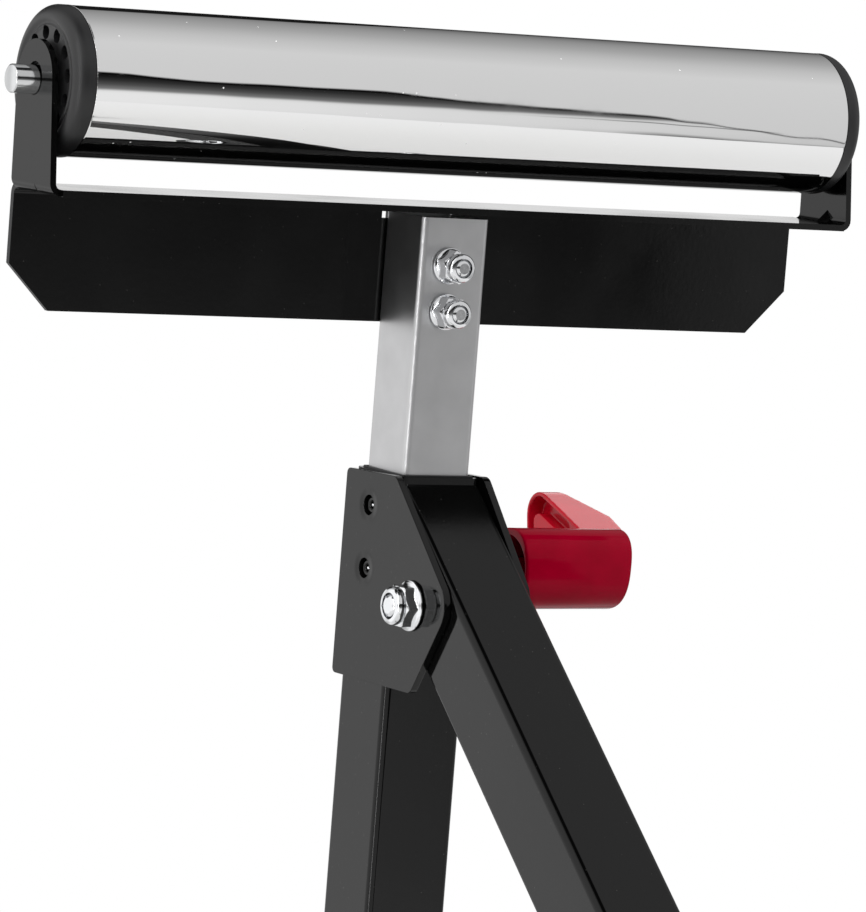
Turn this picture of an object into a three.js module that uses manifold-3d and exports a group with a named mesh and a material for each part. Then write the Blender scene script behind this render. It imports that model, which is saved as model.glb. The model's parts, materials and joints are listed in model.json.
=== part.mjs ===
// Folding roller stand: a leaning square column with a telescoping post, a hinged square leg,
// a red clamp lever that locks the post, and a sheet-metal head that carries a chromed roller.
// Millimetres, +Z up, the roller lies along X, the hinged leg points to -Y.
// The origin is on the floor, in the middle of the footprint.
import * as THREE from "three";
import { ConvexGeometry } from "three/addons/geometries/ConvexGeometry.js";
import { mergeVertices } from "three/addons/utils/BufferGeometryUtils.js";
import Module from "manifold-3d";

const wasm = await Module();
wasm.setup();
const { degToRad } = THREE.MathUtils;

// Stance
const COLUMN_TOP_HEIGHT = 566; // reference level at the column mouth, above the floor
const COLUMN_LEAN = degToRad(8.8); // top leans towards the hinged leg
const LEG_LEAN = degToRad(42.1); // opened leg from the vertical
const HEAD_LIFT = 59; // lower edge of the head's apron above the reference level

// Clearances
const FIT_GAP = 0.3; // between pieces that touch, seat or slide
const STOP_GAP = 0.6; // mitred leg end to the column face it stops against

// Square tubes
const COLUMN_SIDE = 36; // the leg is cut from the same tube
const COLUMN_WALL = 1.5;
const COLUMN_CORNER = 3;
const COLUMN_MOUTH = 1.3; // column's end above the reference level
const POST_SIDE = 30;
const POST_WALL = 1.5;
const POST_CORNER = 2.5;
const SINK_TRAVEL = 55.5; // how far the post can still sink from the height shown
const FOOT_SIDE = 30;
const FOOT_WALL = 1.5;
const FOOT_CORNER = 3;
const FOOT_LENGTH = 440;

// Plastic and rubber pieces on the tubes
const BUSH_LENGTH = 24;
const BUSH_LIP = 0.6; // bush above the column's end
const PLUG_DEPTH = 20;
const PLUG_FLANGE = 5;
const SINK_GAP = 6.9; // plug to the cross tube with the post sunk
const BOOT_WALL = 3;
const BOOT_SOLE = 4;
const BOOT_LENGTH = 36;
const BOOT_CORNER = 4;

// Hinge
const FOLD_GAP = 6.6; // folded leg to the column's front face
const PIVOT_DROP = 46.1; // pivot below the reference level
const LEG_AHEAD = 4; // leg's axis ahead of the pivot
const PLATE_THICKNESS = 3;
const PLATE_BACK = 1; // plate behind the column's back face
const PLATE_BROW = 1.3; // top edge ahead of the column's front face
const PLATE_CHIN = 24.4; // lower edge ahead of the column's front face
const PLATE_RISE = { back: 0.5, front: 2 }; // top edge above the reference level
const PLATE_FALL = { back: 81.5, front: 80 }; // lower edge below it
const PLATE_NOSE = 12; // radius of the round nose
const NOSE_AHEAD = 12.8; // nose centre ahead of the pivot
const NOSE_LIFT = 2; // nose centre above the pivot
const RIVET_HEAD = 7.4;
const RIVET_SHANK = 5;
const RIVET_RECESS = 1.4;
const RIVET_DOME = 0.8;
const RIVET_CROWN = 0.6; // share of the head under the dome's flatter middle
const RIVET_DROP = 12;
const PIVOT_BOLT = { diameter: 8, across: 15.4, head: 5.6, overhang: 0.4 };
const PIVOT_NUT = { flange: 19.9, edge: 1.2, skirt: 2.4, hex: 6.4, height: 10, lip: 1.2 };
const SLEEVE_WALL = 2.5;

// Clamp
const CLAMP_DROP = 37; // clamp axis below the reference level
const SCREW_DIAMETER = 10;
const SCREW_EMBEDDED = 15; // screw inside the lever's core
const PAD_DIAMETER = 9;
const PAD_PROUD = 0.6; // pad beyond the column's outer face
const CLAMP_NUT_ACROSS = 17;
const CLAMP_NUT_LENGTH = 12;
const LEVER_STANDOFF = 11; // clamp nut to lever hub
const HUB_RADIUS = 16.4; // at the open end
const HUB_TAPER = 0.8; // less at the closed end
const HUB_LENGTH = 50;
const HUB_WALL = 3;
const HUB_HOLLOW = 24;
const HUB_EDGE = 2;
const WING_REACH = 25.5; // hub axis to the centre of the wing's round tip
const WING_TIP = 11.5;
const WING_ANGLE = degToRad(38);
const WING_ROOT_WIDTH = 23.2;
const WING_TIP_WIDTH = 10;
const WING_ROOT_REACH = 10; // where the sloped face meets the hub's end
const WING_WALL = 2.5;
const WING_HOLLOW = 8;

// Head bracket
const SHEET = 2.5;
const BEND = 2; // inside radius of every bend
const CAP_TO_EAR = 1.4; // end cap to ear, with the clip between them
const STRAP_FRONT = 24.8; // strap edge ahead of the post axis
const APRON_DROP = 48.8; // apron below the strap's top face
const APRON_INSET = 1.3; // apron edge inside the ear's inner face
const APRON_CHAMFER = 17.7;
const EAR_FRONT = 23; // ear's foot ahead of the post axis
const EAR_BACK = 10.5; // ear's foot behind the post axis
const EAR_CROWN = 14.8;
const GUSSET_OFFSET = 9; // gusset ahead of the post axis
const GUSSET_REACH = 5; // along the strap and up the ear
const GUSSET_WIDTH = 10;
const GROOVE_REACH = 3.2;
const GROOVE_WIDTH = 8;
const RELIEF_WIDTH = 3;
const RELIEF_HEIGHT = 3.3;
const HEAD_BOLT = { diameter: 6, across: 11.6, head: 4.4, overhang: 0.3 };
const HEAD_NUT = { flange: 14.4, edge: 1.4, skirt: 2.6, hex: 7.6, height: 11.8, lip: 1 };
const HEX_CHAMFER = 0.6; // off the corners of bolt heads
const THREAD_CHAMFER = 0.7; // at the bolts' ends
const HEAD_BOLT_RISE = 7.4; // lower bolt above the apron's lower edge
const HEAD_BOLT_PITCH = 18;
const HEAD_BOLT_SIDE = -2.5; // bolts beside the post's middle

// Roller
const ROLLER_RADIUS = 28.7;
const ROLLER_WALL = 1.5;
const ROLLER_LENGTH = 338.8; // chromed tube
const ROLLER_AHEAD = 3.1; // roller axis ahead of the post axis
const ROLLER_GAP = 10.8; // roller above the strap's top face
const AXLE_DIAMETER = 11;
const AXLE_OVERHANG = 10;
const AXLE_CHAMFER = 0.8;
const EAR_HOLE_DIAMETER = 12.8;
const CLIP_THICKNESS = 0.7;
const CLIP_DIAMETER = 18;
const CLIP_GROOVE = 0.8;
const CAP_PROUD = 8; // cap beyond the tube end
const CAP_EDGE = 5; // bullnose radius
const CAP_WEB = 3.4;
const CAP_DISH = 0.9; // face below the rim
const CAP_RIDGE = 0.5; // height of the soft ridge round the face
const CAP_RIDGE_STEP = 1.1;
const CAP_SKIRT = 14;
const CAP_WALL = 2.6;
const CAP_BORE_MARGIN = 2;
const CAP_HOLES = 12;
const CAP_HOLE_DIAMETER = 5.4;
const CAP_HOLE_CIRCLE = 18; // radius of the ring of holes
const BEARING_DIAMETER = 28;
const BEARING_WIDTH = 8;
const RACE_THICKNESS = 2.2;
const BALL_COUNT = 7;
const CAGE_WIDTH = 2.4;
const CAGE_WALL = 1.2;

// Facets round a full turn, and the reach of a cutting block
const ROUND = 32;
const SMALL_ROUND = 18;
const HOLE_ROUND = 8;
const BALL_ROUND = 6;
const CORNER_STEPS = 3;
const NOSE_STEPS = 8;
const FAR = 900;

// Finishes
function finish(color, roughness, metalness) {
  return new THREE.MeshStandardMaterial({ color, roughness, metalness });
}
const blackCoat = finish(0x141416, 0.28, 0.2);
const chrome = finish(0xdfe2e6, 0.08, 1);
const zinc = finish(0xa8aaad, 0.35, 1);
const brightSteel = finish(0xc4c6ca, 0.22, 1);
const redPlastic = finish(0xb0141c, 0.35, 0);
const blackPlastic = finish(0x1b1b1c, 0.5, 0);
const rubber = finish(0x161616, 0.8, 0);
const brass = finish(0xb08d4a, 0.4, 1);

// Joining and cutting of closed shapes
function toSolid(geometry) {
  const bare = geometry.clone();
  bare.deleteAttribute("normal");
  bare.deleteAttribute("uv");
  const merged = mergeVertices(bare, 1e-4);
  const vertProperties = merged.attributes.position.array;
  const triVerts = new Uint32Array(merged.index.array);
  return new wasm.Manifold(new wasm.Mesh({ numProp: 3, vertProperties, triVerts }));
}

function toGeometry(solid) {
  const mesh = solid.getMesh();
  const geometry = new THREE.BufferGeometry();
  geometry.setAttribute("position", new THREE.BufferAttribute(mesh.vertProperties, 3));
  geometry.setIndex(new THREE.BufferAttribute(mesh.triVerts, 1));
  return geometry;
}

function join(first, ...others) {
  return toGeometry(others.reduce((sum, other) => sum.add(toSolid(other)), toSolid(first)));
}

function cut(first, ...tools) {
  return toGeometry(tools.reduce((rest, tool) => rest.subtract(toSolid(tool)), toSolid(first)));
}

function common(first, second) {
  return toGeometry(toSolid(first).intersect(toSolid(second)));
}

// Mirrors a closed geometry in the plane x = 0 and turns its faces out again
function mirrored(geometry) {
  const copy = geometry.clone().scale(-1, 1, 1);
  const index = copy.index.array;
  for (let i = 0; i < index.length; i += 3) {
    [index[i + 1], index[i + 2]] = [index[i + 2], index[i + 1]];
  }
  return copy;
}

// Extruded forms: a shape for X is drawn in (y, z), a shape for Y is drawn in (z, x)
const unitX = new THREE.Vector3(1, 0, 0);
const unitY = new THREE.Vector3(0, 1, 0);
const unitZ = new THREE.Vector3(0, 0, 1);
const alongX = new THREE.Matrix4().makeBasis(unitY, unitZ, unitX);
const alongY = new THREE.Matrix4().makeBasis(unitZ, unitX, unitY);

function extrudeZ(shape, start, end, curveSegments = CORNER_STEPS) {
  const options = { depth: end - start, bevelEnabled: false, curveSegments };
  return new THREE.ExtrudeGeometry(shape, options).translate(0, 0, start);
}

function extrudeX(shape, start, end, curveSegments = CORNER_STEPS) {
  return extrudeZ(shape, start, end, curveSegments).applyMatrix4(alongX);
}

function extrudeY(shape, start, end, curveSegments = CORNER_STEPS) {
  return extrudeZ(shape, start, end, curveSegments).applyMatrix4(alongY);
}

function polygon(...corners) {
  return new THREE.Shape(corners.map(([a, b]) => new THREE.Vector2(a, b)));
}

function roundedRectangle(width, height, corner) {
  const x = width / 2 - corner;
  const y = height / 2 - corner;
  const shape = new THREE.Shape();
  shape.absarc(x, y, corner, 0, Math.PI / 2);
  shape.absarc(-x, y, corner, Math.PI / 2, Math.PI);
  shape.absarc(-x, -y, corner, Math.PI, 1.5 * Math.PI);
  shape.absarc(x, -y, corner, 1.5 * Math.PI, 2 * Math.PI);
  return shape;
}

function squareRing(outerSide, outerCorner, innerSide, innerCorner) {
  const shape = roundedRectangle(outerSide, outerSide, outerCorner);
  shape.holes.push(roundedRectangle(innerSide, innerSide, innerCorner));
  return shape;
}

function tubeSection(side, wall, corner) {
  return squareRing(side, corner, side - 2 * wall, corner - wall);
}

function block(x0, x1, y0, y1, z0, z1) {
  const box = new THREE.BoxGeometry(x1 - x0, y1 - y0, z1 - z0);
  return box.translate((x0 + x1) / 2, (y0 + y1) / 2, (z0 + z1) / 2);
}

// Turned forms about X: profile points are [radius, x], the outside with growing x
function turned(profile, segments = SMALL_ROUND) {
  const points = profile.map(([radius, x]) => new THREE.Vector2(radius, x));
  return new THREE.LatheGeometry(points, segments).rotateZ(-Math.PI / 2);
}

function rod(radius, x0, x1, segments = SMALL_ROUND) {
  return turned([[0, x0], [radius, x0], [radius, x1], [0, x1]], segments);
}

function chamferedRod(radius, x0, x1, chamfer) {
  const neck = radius - chamfer;
  const start = [[0, x0], [neck, x0], [radius, x0 + chamfer]];
  const end = [[radius, x1 - chamfer], [neck, x1], [0, x1]];
  return turned([...start, ...end]);
}

function collar(inner, outer, x0, x1, segments = SMALL_ROUND) {
  return turned([[inner, x0], [outer, x0], [outer, x1], [inner, x1], [inner, x0]], segments);
}

// Points of a round stretch of a turned profile, angles from the radius towards +x
function roundStretch(radius, x, size, fromDegrees, toDegrees, steps) {
  const points = [];
  for (let i = 0; i <= steps; i += 1) {
    const angle = degToRad(fromDegrees + ((toDegrees - fromDegrees) * i) / steps);
    points.push([radius + size * Math.cos(angle), x + size * Math.sin(angle)]);
  }
  return points;
}

function hexagon(across, x0, x1) {
  return rod(across / Math.sqrt(3), x0, x1, 6);
}

// Hex bolt along X: head seat at zero, head towards +x, shank towards -x
function hexBolt(size, length) {
  const corner = size.across / Math.sqrt(3);
  const top = [[corner, size.head - HEX_CHAMFER], [size.across / 2 - HEX_CHAMFER, size.head]];
  const envelope = turned([[0, 0], [corner, 0], ...top, [0, size.head]]);
  const head = common(hexagon(size.across, 0, size.head), envelope);
  return join(head, chamferedRod(size.diameter / 2, -length, size.head / 2, THREAD_CHAMFER));
}

// Flange lock nut along X: flange seat at zero, rolled collar towards -x
function flangeNut(size, bolt) {
  const flangeRadius = size.flange / 2;
  const hexRadius = bolt.across / 2;
  const skirt = [[0, -size.skirt], [hexRadius, -size.skirt], [flangeRadius, -size.edge]];
  const flange = turned([...skirt, [flangeRadius, 0], [0, 0]]);
  const hex = hexagon(bolt.across, -size.hex, -size.edge);
  const crown = [[0, -size.height], [hexRadius - 2 * size.lip, -size.height]];
  const collarRadius = hexRadius - FIT_GAP / 2;
  const shoulder = [[collarRadius, size.lip - size.height], [collarRadius, -size.edge]];
  const rolledCollar = turned([...crown, ...shoulder, [0, -size.edge]]);
  const bore = rod(bolt.diameter / 2 + FIT_GAP, -2 * size.height, size.height);
  return cut(join(flange, hex, rolledCollar), bore);
}

const root = new THREE.Group();

function add(group, name, geometry, material) {
  const mesh = new THREE.Mesh(geometry, material);
  mesh.name = name;
  group.add(mesh);
}

// Places on the floor and the two leaning frames
const footAxisHeight = BOOT_SOLE + FIT_GAP + FOOT_SIDE / 2;
const footTopHeight = footAxisHeight + FOOT_SIDE / 2 + FIT_GAP;
const pivotForward = COLUMN_SIDE - LEG_AHEAD + FOLD_GAP;
const pivotFall = pivotForward * Math.sin(COLUMN_LEAN) + PIVOT_DROP * Math.cos(COLUMN_LEAN);
const pivotHeight = COLUMN_TOP_HEIGHT - pivotFall;
const pivotAhead = pivotForward * Math.cos(COLUMN_LEAN) - PIVOT_DROP * Math.sin(COLUMN_LEAN);
const columnFootBehind = (COLUMN_TOP_HEIGHT - footAxisHeight) * Math.tan(COLUMN_LEAN);
const legRun = (pivotHeight - footAxisHeight) * Math.tan(LEG_LEAN);
const legFootAhead = pivotAhead + legRun + LEG_AHEAD / Math.cos(LEG_LEAN);
const columnTopY = (legFootAhead - columnFootBehind) / 2;

// The column's frame: z along its axis, zero at the reference level
const stand = new THREE.Group();
stand.position.set(0, columnTopY, COLUMN_TOP_HEIGHT);
stand.rotation.x = COLUMN_LEAN;
root.add(stand);

// The leg's frame: z along its axis, zero at the pivot
const swing = new THREE.Group();
swing.position.set(0, columnTopY - pivotAhead, pivotHeight);
swing.rotation.x = -LEG_LEAN;
root.add(swing);
root.updateMatrixWorld(true);

// Everything below a level, in the frame of a leaning group
function belowLevel(group, level) {
  const toGroup = group.matrixWorld.clone().invert();
  return block(-FAR, FAR, -FAR, FAR, level - FAR, level).applyMatrix4(toGroup);
}

// Column
const columnHalf = COLUMN_SIDE / 2;
const columnBore = COLUMN_SIDE - 2 * COLUMN_WALL;
const columnLength = COLUMN_TOP_HEIGHT / Math.cos(COLUMN_LEAN);
const plateInner = columnHalf + FIT_GAP;
const plateOuter = plateInner + PLATE_THICKNESS;
const clampHole = SCREW_DIAMETER / 2 + FIT_GAP;
const rivetHole = RIVET_SHANK / 2 + FIT_GAP;

function sideHole(radius, x0, x1, y, z) {
  return rod(radius, x0, x1).translate(0, y, z);
}

function makeColumn() {
  const section = tubeSection(COLUMN_SIDE, COLUMN_WALL, COLUMN_CORNER);
  return cut(
    extrudeZ(section, -columnLength, COLUMN_MOUTH),
    belowLevel(stand, footTopHeight),
    sideHole(clampHole, 0, COLUMN_SIDE, 0, -CLAMP_DROP),
    sideHole(rivetHole, -COLUMN_SIDE, 0, 0, -CLAMP_DROP),
    sideHole(rivetHole, -COLUMN_SIDE, COLUMN_SIDE, 0, -RIVET_DROP),
  );
}

function makeGuideBush() {
  const outer = columnBore - 2 * FIT_GAP;
  const inner = POST_SIDE + 2 * FIT_GAP;
  const section = squareRing(outer, COLUMN_CORNER - COLUMN_WALL, inner, POST_CORNER);
  return extrudeZ(section, -BUSH_LENGTH, COLUMN_MOUTH + BUSH_LIP);
}

add(stand, "column", makeColumn(), blackCoat);
add(stand, "guide_bush", makeGuideBush(), blackPlastic);

// Angle on a circle where the line from a point outside touches it
function touchAngle(pointY, pointZ, centreY, centreZ, radius, side) {
  const away = Math.hypot(pointY - centreY, pointZ - centreZ);
  return Math.atan2(pointZ - centreZ, pointY - centreY) + side * Math.acos(radius / away);
}

// Hinge plates: almost square on the column, a slanted brow, a round nose ahead of the pivot
function plateOutline() {
  const browY = -columnHalf - PLATE_BROW;
  const chinY = -columnHalf - PLATE_CHIN;
  const noseY = -pivotForward - NOSE_AHEAD;
  const noseZ = NOSE_LIFT - PIVOT_DROP;
  const upper = touchAngle(browY, PLATE_RISE.front, noseY, noseZ, PLATE_NOSE, 1);
  const lower = touchAngle(chinY, -PLATE_FALL.front, noseY, noseZ, PLATE_NOSE, -1);
  const shape = new THREE.Shape();
  shape.moveTo(columnHalf + PLATE_BACK, -PLATE_FALL.back);
  shape.lineTo(columnHalf + PLATE_BACK, PLATE_RISE.back);
  shape.lineTo(browY, PLATE_RISE.front);
  shape.absarc(noseY, noseZ, PLATE_NOSE, upper, lower + 2 * Math.PI);
  shape.lineTo(chinY, -PLATE_FALL.front);
  return shape;
}

function makePlate(clampSide) {
  const rivetSeat = RIVET_HEAD / 2 + FIT_GAP;
  const boltHole = PIVOT_BOLT.diameter / 2 + FIT_GAP;
  return cut(
    extrudeX(plateOutline(), plateInner, plateOuter, NOSE_STEPS),
    sideHole(boltHole, 0, COLUMN_SIDE, -pivotForward, -PIVOT_DROP),
    sideHole(rivetSeat, 0, COLUMN_SIDE, 0, -RIVET_DROP),
    sideHole(clampSide ? clampHole : rivetSeat, 0, COLUMN_SIDE, 0, -CLAMP_DROP),
  );
}

// Rivet on the +x side: domed head inside the plate's hole, shank flush with the column's bore
function makeRivet(drop) {
  const face = plateOuter - RIVET_RECESS;
  const headRadius = RIVET_HEAD / 2;
  const shank = [[0, columnBore / 2], [RIVET_SHANK / 2, columnBore / 2], [RIVET_SHANK / 2, plateInner]];
  const rim = [[headRadius, plateInner], [headRadius, face - RIVET_DOME]];
  const dome = [[headRadius * RIVET_CROWN, face - RIVET_DOME * (1 - RIVET_CROWN)], [0, face]];
  return turned([...shank, ...rim, ...dome]).translate(0, 0, -drop);
}

add(stand, "hinge_plate_right", makePlate(true), blackCoat);
add(stand, "hinge_plate_left", mirrored(makePlate(false)), blackCoat);
add(stand, "plate_rivet_right", makeRivet(RIVET_DROP), blackCoat);
add(stand, "plate_rivet_left_upper", mirrored(makeRivet(RIVET_DROP)), blackCoat);
add(stand, "plate_rivet_left_lower", mirrored(makeRivet(CLAMP_DROP)), blackCoat);

// Hinge bolt across both plates, its lock nut on the left
const plateSeat = plateOuter + FIT_GAP;
const hingeBoltLength = 2 * plateSeat + PIVOT_NUT.height + PIVOT_BOLT.overhang;

function atPivot(geometry, x) {
  return geometry.translate(x, -pivotForward, -PIVOT_DROP);
}

add(stand, "hinge_bolt", atPivot(hexBolt(PIVOT_BOLT, hingeBoltLength), plateSeat), brightSteel);
add(stand, "hinge_nut", atPivot(flangeNut(PIVOT_NUT, PIVOT_BOLT), -plateSeat), brightSteel);

// Leg: the column's tube, mitred at the top to bear on the column's front face
function behindColumnFace() {
  const space = block(-FAR, FAR, -columnHalf - STOP_GAP, FAR, -FAR, FAR);
  const toSwing = swing.matrixWorld.clone().invert().multiply(stand.matrixWorld);
  return space.applyMatrix4(toSwing);
}

const pivotHole = PIVOT_BOLT.diameter / 2 + FIT_GAP;

function makeLeg() {
  const section = tubeSection(COLUMN_SIDE, COLUMN_WALL, COLUMN_CORNER);
  const reach = pivotHeight / Math.cos(LEG_LEAN);
  return cut(
    extrudeZ(section, -reach, 2 * COLUMN_SIDE).translate(0, -LEG_AHEAD, 0),
    behindColumnFace(),
    belowLevel(swing, footTopHeight),
    sideHole(pivotHole, -COLUMN_SIDE, COLUMN_SIDE, 0, 0),
  );
}

const sleeveHalf = columnBore / 2 - FIT_GAP;
add(swing, "leg", makeLeg(), blackCoat);
add(swing, "hinge_sleeve", collar(pivotHole, pivotHole + SLEEVE_WALL, -sleeveHalf, sleeveHalf), zinc);

// Feet: a cross tube under each leg with a flat-soled rubber boot on either end
const bootEnd = FOOT_LENGTH / 2 + FIT_GAP + BOOT_WALL;
const bootWidth = FOOT_SIDE + 2 * (FIT_GAP + BOOT_WALL);
const bootHeight = FOOT_SIDE + 2 * FIT_GAP + BOOT_WALL + BOOT_SOLE;

function makeBoot() {
  const outside = roundedRectangle(bootWidth, bootHeight, BOOT_CORNER);
  const pocket = roundedRectangle(FOOT_SIDE + 2 * FIT_GAP, FOOT_SIDE + 2 * FIT_GAP, FOOT_CORNER);
  const shell = extrudeX(outside, bootEnd - BOOT_LENGTH, bootEnd);
  shell.translate(0, 0, bootHeight / 2 - footAxisHeight);
  return cut(shell, extrudeX(pocket, 0, bootEnd - BOOT_WALL));
}

function addFoot(name, y) {
  const foot = new THREE.Group();
  foot.position.set(0, y, footAxisHeight);
  root.add(foot);
  const tube = tubeSection(FOOT_SIDE, FOOT_WALL, FOOT_CORNER);
  add(foot, name, extrudeX(tube, -FOOT_LENGTH / 2, FOOT_LENGTH / 2), blackCoat);
  add(foot, `${name}_boot_right`, makeBoot(), rubber);
  add(foot, `${name}_boot_left`, mirrored(makeBoot()), rubber);
}

addFoot("column_foot", columnTopY + columnFootBehind);
addFoot("leg_foot", columnTopY - legFootAhead);

// Heights on the head, in the column's frame
const apronBottom = HEAD_LIFT;
const strapTop = apronBottom + APRON_DROP;
const strapBottom = strapTop - SHEET;
const apronFront = POST_SIDE / 2 + FIT_GAP;
const apronBack = apronFront + SHEET;
const postTop = strapBottom - BEND - FIT_GAP;
const headBoltHeights = [apronBottom + HEAD_BOLT_RISE + HEAD_BOLT_PITCH, apronBottom + HEAD_BOLT_RISE];
const headBoltHole = HEAD_BOLT.diameter / 2 + FIT_GAP;

function frontHole(radius, z) {
  return rod(radius, -FAR, FAR).rotateZ(Math.PI / 2).translate(HEAD_BOLT_SIDE, 0, z);
}

// Post with the guide plug in its lower end, as deep in the column as its travel leaves room for
const columnInside = (COLUMN_TOP_HEIGHT - footTopHeight) / Math.cos(COLUMN_LEAN);
const postInsertion = columnInside - SINK_TRAVEL - SINK_GAP - PLUG_FLANGE - FIT_GAP;

function makePost() {
  const tube = extrudeZ(tubeSection(POST_SIDE, POST_WALL, POST_CORNER), -postInsertion, postTop);
  return cut(tube, ...headBoltHeights.map((z) => frontHole(headBoltHole, z)));
}

function makePostPlug() {
  const seat = -postInsertion - FIT_GAP;
  const flangeSide = columnBore - 2 * FIT_GAP;
  const stemSide = POST_SIDE - 2 * POST_WALL - 2 * FIT_GAP;
  const flangeShape = roundedRectangle(flangeSide, flangeSide, POST_CORNER);
  const stemShape = squareRing(stemSide, POST_CORNER - POST_WALL, stemSide - 2 * BOOT_WALL, 1);
  const flange = extrudeZ(flangeShape, seat - PLUG_FLANGE, seat);
  return join(flange, extrudeZ(stemShape, seat - PLUG_FLANGE / 2, seat + PLUG_DEPTH));
}

add(stand, "post", makePost(), zinc);
add(stand, "post_plug", makePostPlug(), blackPlastic);

// Head bolts run front to back, with their lock nuts on the post's front face
const headBoltSeat = apronBack + FIT_GAP;
const headNutSeat = -POST_SIDE / 2 - FIT_GAP;
const headBoltLength = headBoltSeat - headNutSeat + HEAD_NUT.height + HEAD_BOLT.overhang;

["upper", "lower"].forEach((place, i) => {
  const bolt = hexBolt(HEAD_BOLT, headBoltLength).rotateZ(Math.PI / 2);
  const nut = flangeNut(HEAD_NUT, HEAD_BOLT).rotateZ(Math.PI / 2);
  bolt.translate(HEAD_BOLT_SIDE, headBoltSeat, headBoltHeights[i]);
  nut.translate(HEAD_BOLT_SIDE, headNutSeat, headBoltHeights[i]);
  add(stand, `head_bolt_${place}`, bolt, brightSteel);
  add(stand, `head_nut_${place}`, nut, brightSteel);
});

// Head bracket: a strap, two ears bent up, and an apron bent down behind the post
const earInner = ROLLER_LENGTH / 2 + CAP_PROUD + CAP_TO_EAR;
const apronWidth = 2 * (earInner - APRON_INSET);
const earOuter = earInner + SHEET;
const axleHeight = strapTop + ROLLER_GAP + ROLLER_RADIUS;
const earHoleHeight = axleHeight + (EAR_HOLE_DIAMETER - AXLE_DIAMETER) / 2 - FIT_GAP;
const earTop = earHoleHeight + EAR_CROWN;

// Strap and ears as one bent strip, drawn in (z, x)
function strapSection() {
  const bendZ = strapTop + BEND;
  const bendX = earInner - BEND;
  const shape = new THREE.Shape();
  shape.moveTo(strapBottom, -bendX);
  shape.absarc(bendZ, bendX, BEND + SHEET, Math.PI, Math.PI / 2, true);
  shape.lineTo(earTop + SHEET, earOuter);
  shape.lineTo(earTop + SHEET, earInner);
  shape.absarc(bendZ, bendX, BEND, Math.PI / 2, Math.PI);
  shape.absarc(bendZ, -bendX, BEND, Math.PI, 1.5 * Math.PI);
  shape.lineTo(earTop + SHEET, -earInner);
  shape.lineTo(earTop + SHEET, -earOuter);
  shape.absarc(bendZ, -bendX, BEND + SHEET, 1.5 * Math.PI, Math.PI, true);
  return shape;
}

// Apron and its bend from the strap's back edge, drawn in (y, z)
function apronSection() {
  const bendY = apronFront - BEND;
  const bendZ = strapBottom - BEND;
  const shape = new THREE.Shape();
  shape.moveTo(bendY - SHEET, strapTop);
  shape.absarc(bendY, bendZ, BEND + SHEET, Math.PI / 2, 0, true);
  shape.lineTo(apronBack, apronBottom);
  shape.lineTo(apronFront, apronBottom);
  shape.absarc(bendY, bendZ, BEND, 0, Math.PI / 2);
  shape.lineTo(bendY - SHEET, strapBottom);
  return shape;
}

// Ear drawn in (y, z): a wide foot and a round crown about the axle hole
function earOutline() {
  const crownY = -ROLLER_AHEAD;
  const footZ = strapBottom - SHEET;
  const back = touchAngle(EAR_BACK, strapBottom, crownY, earHoleHeight, EAR_CROWN, 1);
  const front = touchAngle(-EAR_FRONT, strapBottom, crownY, earHoleHeight, EAR_CROWN, -1);
  const shape = new THREE.Shape();
  shape.moveTo(-EAR_FRONT, footZ);
  shape.lineTo(EAR_BACK, footZ);
  shape.lineTo(EAR_BACK, strapBottom);
  shape.absarc(crownY, earHoleHeight, EAR_CROWN, back, front + 2 * Math.PI);
  shape.lineTo(-EAR_FRONT, strapBottom);
  return shape;
}

// What is cut away from the bent strip, above the strap and along its bends, to leave the ears
function earWaste() {
  const above = block(-FAR, FAR, -FAR, FAR, strapTop + FIT_GAP, earTop + 2 * SHEET);
  const bend = block(earInner - BEND, FAR, -FAR, FAR, strapBottom - SHEET, strapTop + BEND);
  const ears = extrudeX(earOutline(), -FAR, FAR, NOSE_STEPS);
  return cut(join(above, bend, mirrored(bend)), ears);
}

function apronChamfer(side) {
  const edge = apronWidth / 2;
  const inner = [apronBottom - 1, side * (edge - APRON_CHAMFER - 1)];
  const corner = [apronBottom - 1, side * (edge + 1)];
  const upper = [apronBottom + APRON_CHAMFER + 1, side * (edge + 1)];
  return extrudeY(polygon(inner, corner, upper), apronFront - 1, apronBack + 1);
}

// Stamped gusset in an ear's bend, a ridge between two points with sides that run out to the bend
function gussetForm(side, reach, width, depth) {
  const bendX = side * (earInner + depth);
  const bendZ = strapTop - depth;
  const foot = new THREE.Vector3(side * (earInner - reach), -GUSSET_OFFSET, bendZ);
  const peak = new THREE.Vector3(bendX, -GUSSET_OFFSET, strapTop + reach);
  const front = new THREE.Vector3(bendX, -GUSSET_OFFSET - width / 2, bendZ);
  const back = new THREE.Vector3(bendX, -GUSSET_OFFSET + width / 2, bendZ);
  return new ConvexGeometry([foot, peak, front, back]);
}

function gussetRib(side) {
  return gussetForm(side, GUSSET_REACH + SHEET / 2, GUSSET_WIDTH, SHEET / 2);
}

function gussetGroove(side) {
  return gussetForm(side, GROOVE_REACH, GROOVE_WIDTH, SHEET + BEND);
}

function reliefHole(side) {
  const inner = side * (POST_SIDE - RELIEF_WIDTH) / 2;
  const outer = side * (POST_SIDE + RELIEF_WIDTH) / 2;
  const x0 = Math.min(inner, outer);
  const top = strapBottom - BEND;
  const bottom = top - RELIEF_HEIGHT;
  return block(x0, x0 + RELIEF_WIDTH, apronFront - SHEET, apronBack + SHEET, bottom, top);
}

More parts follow.
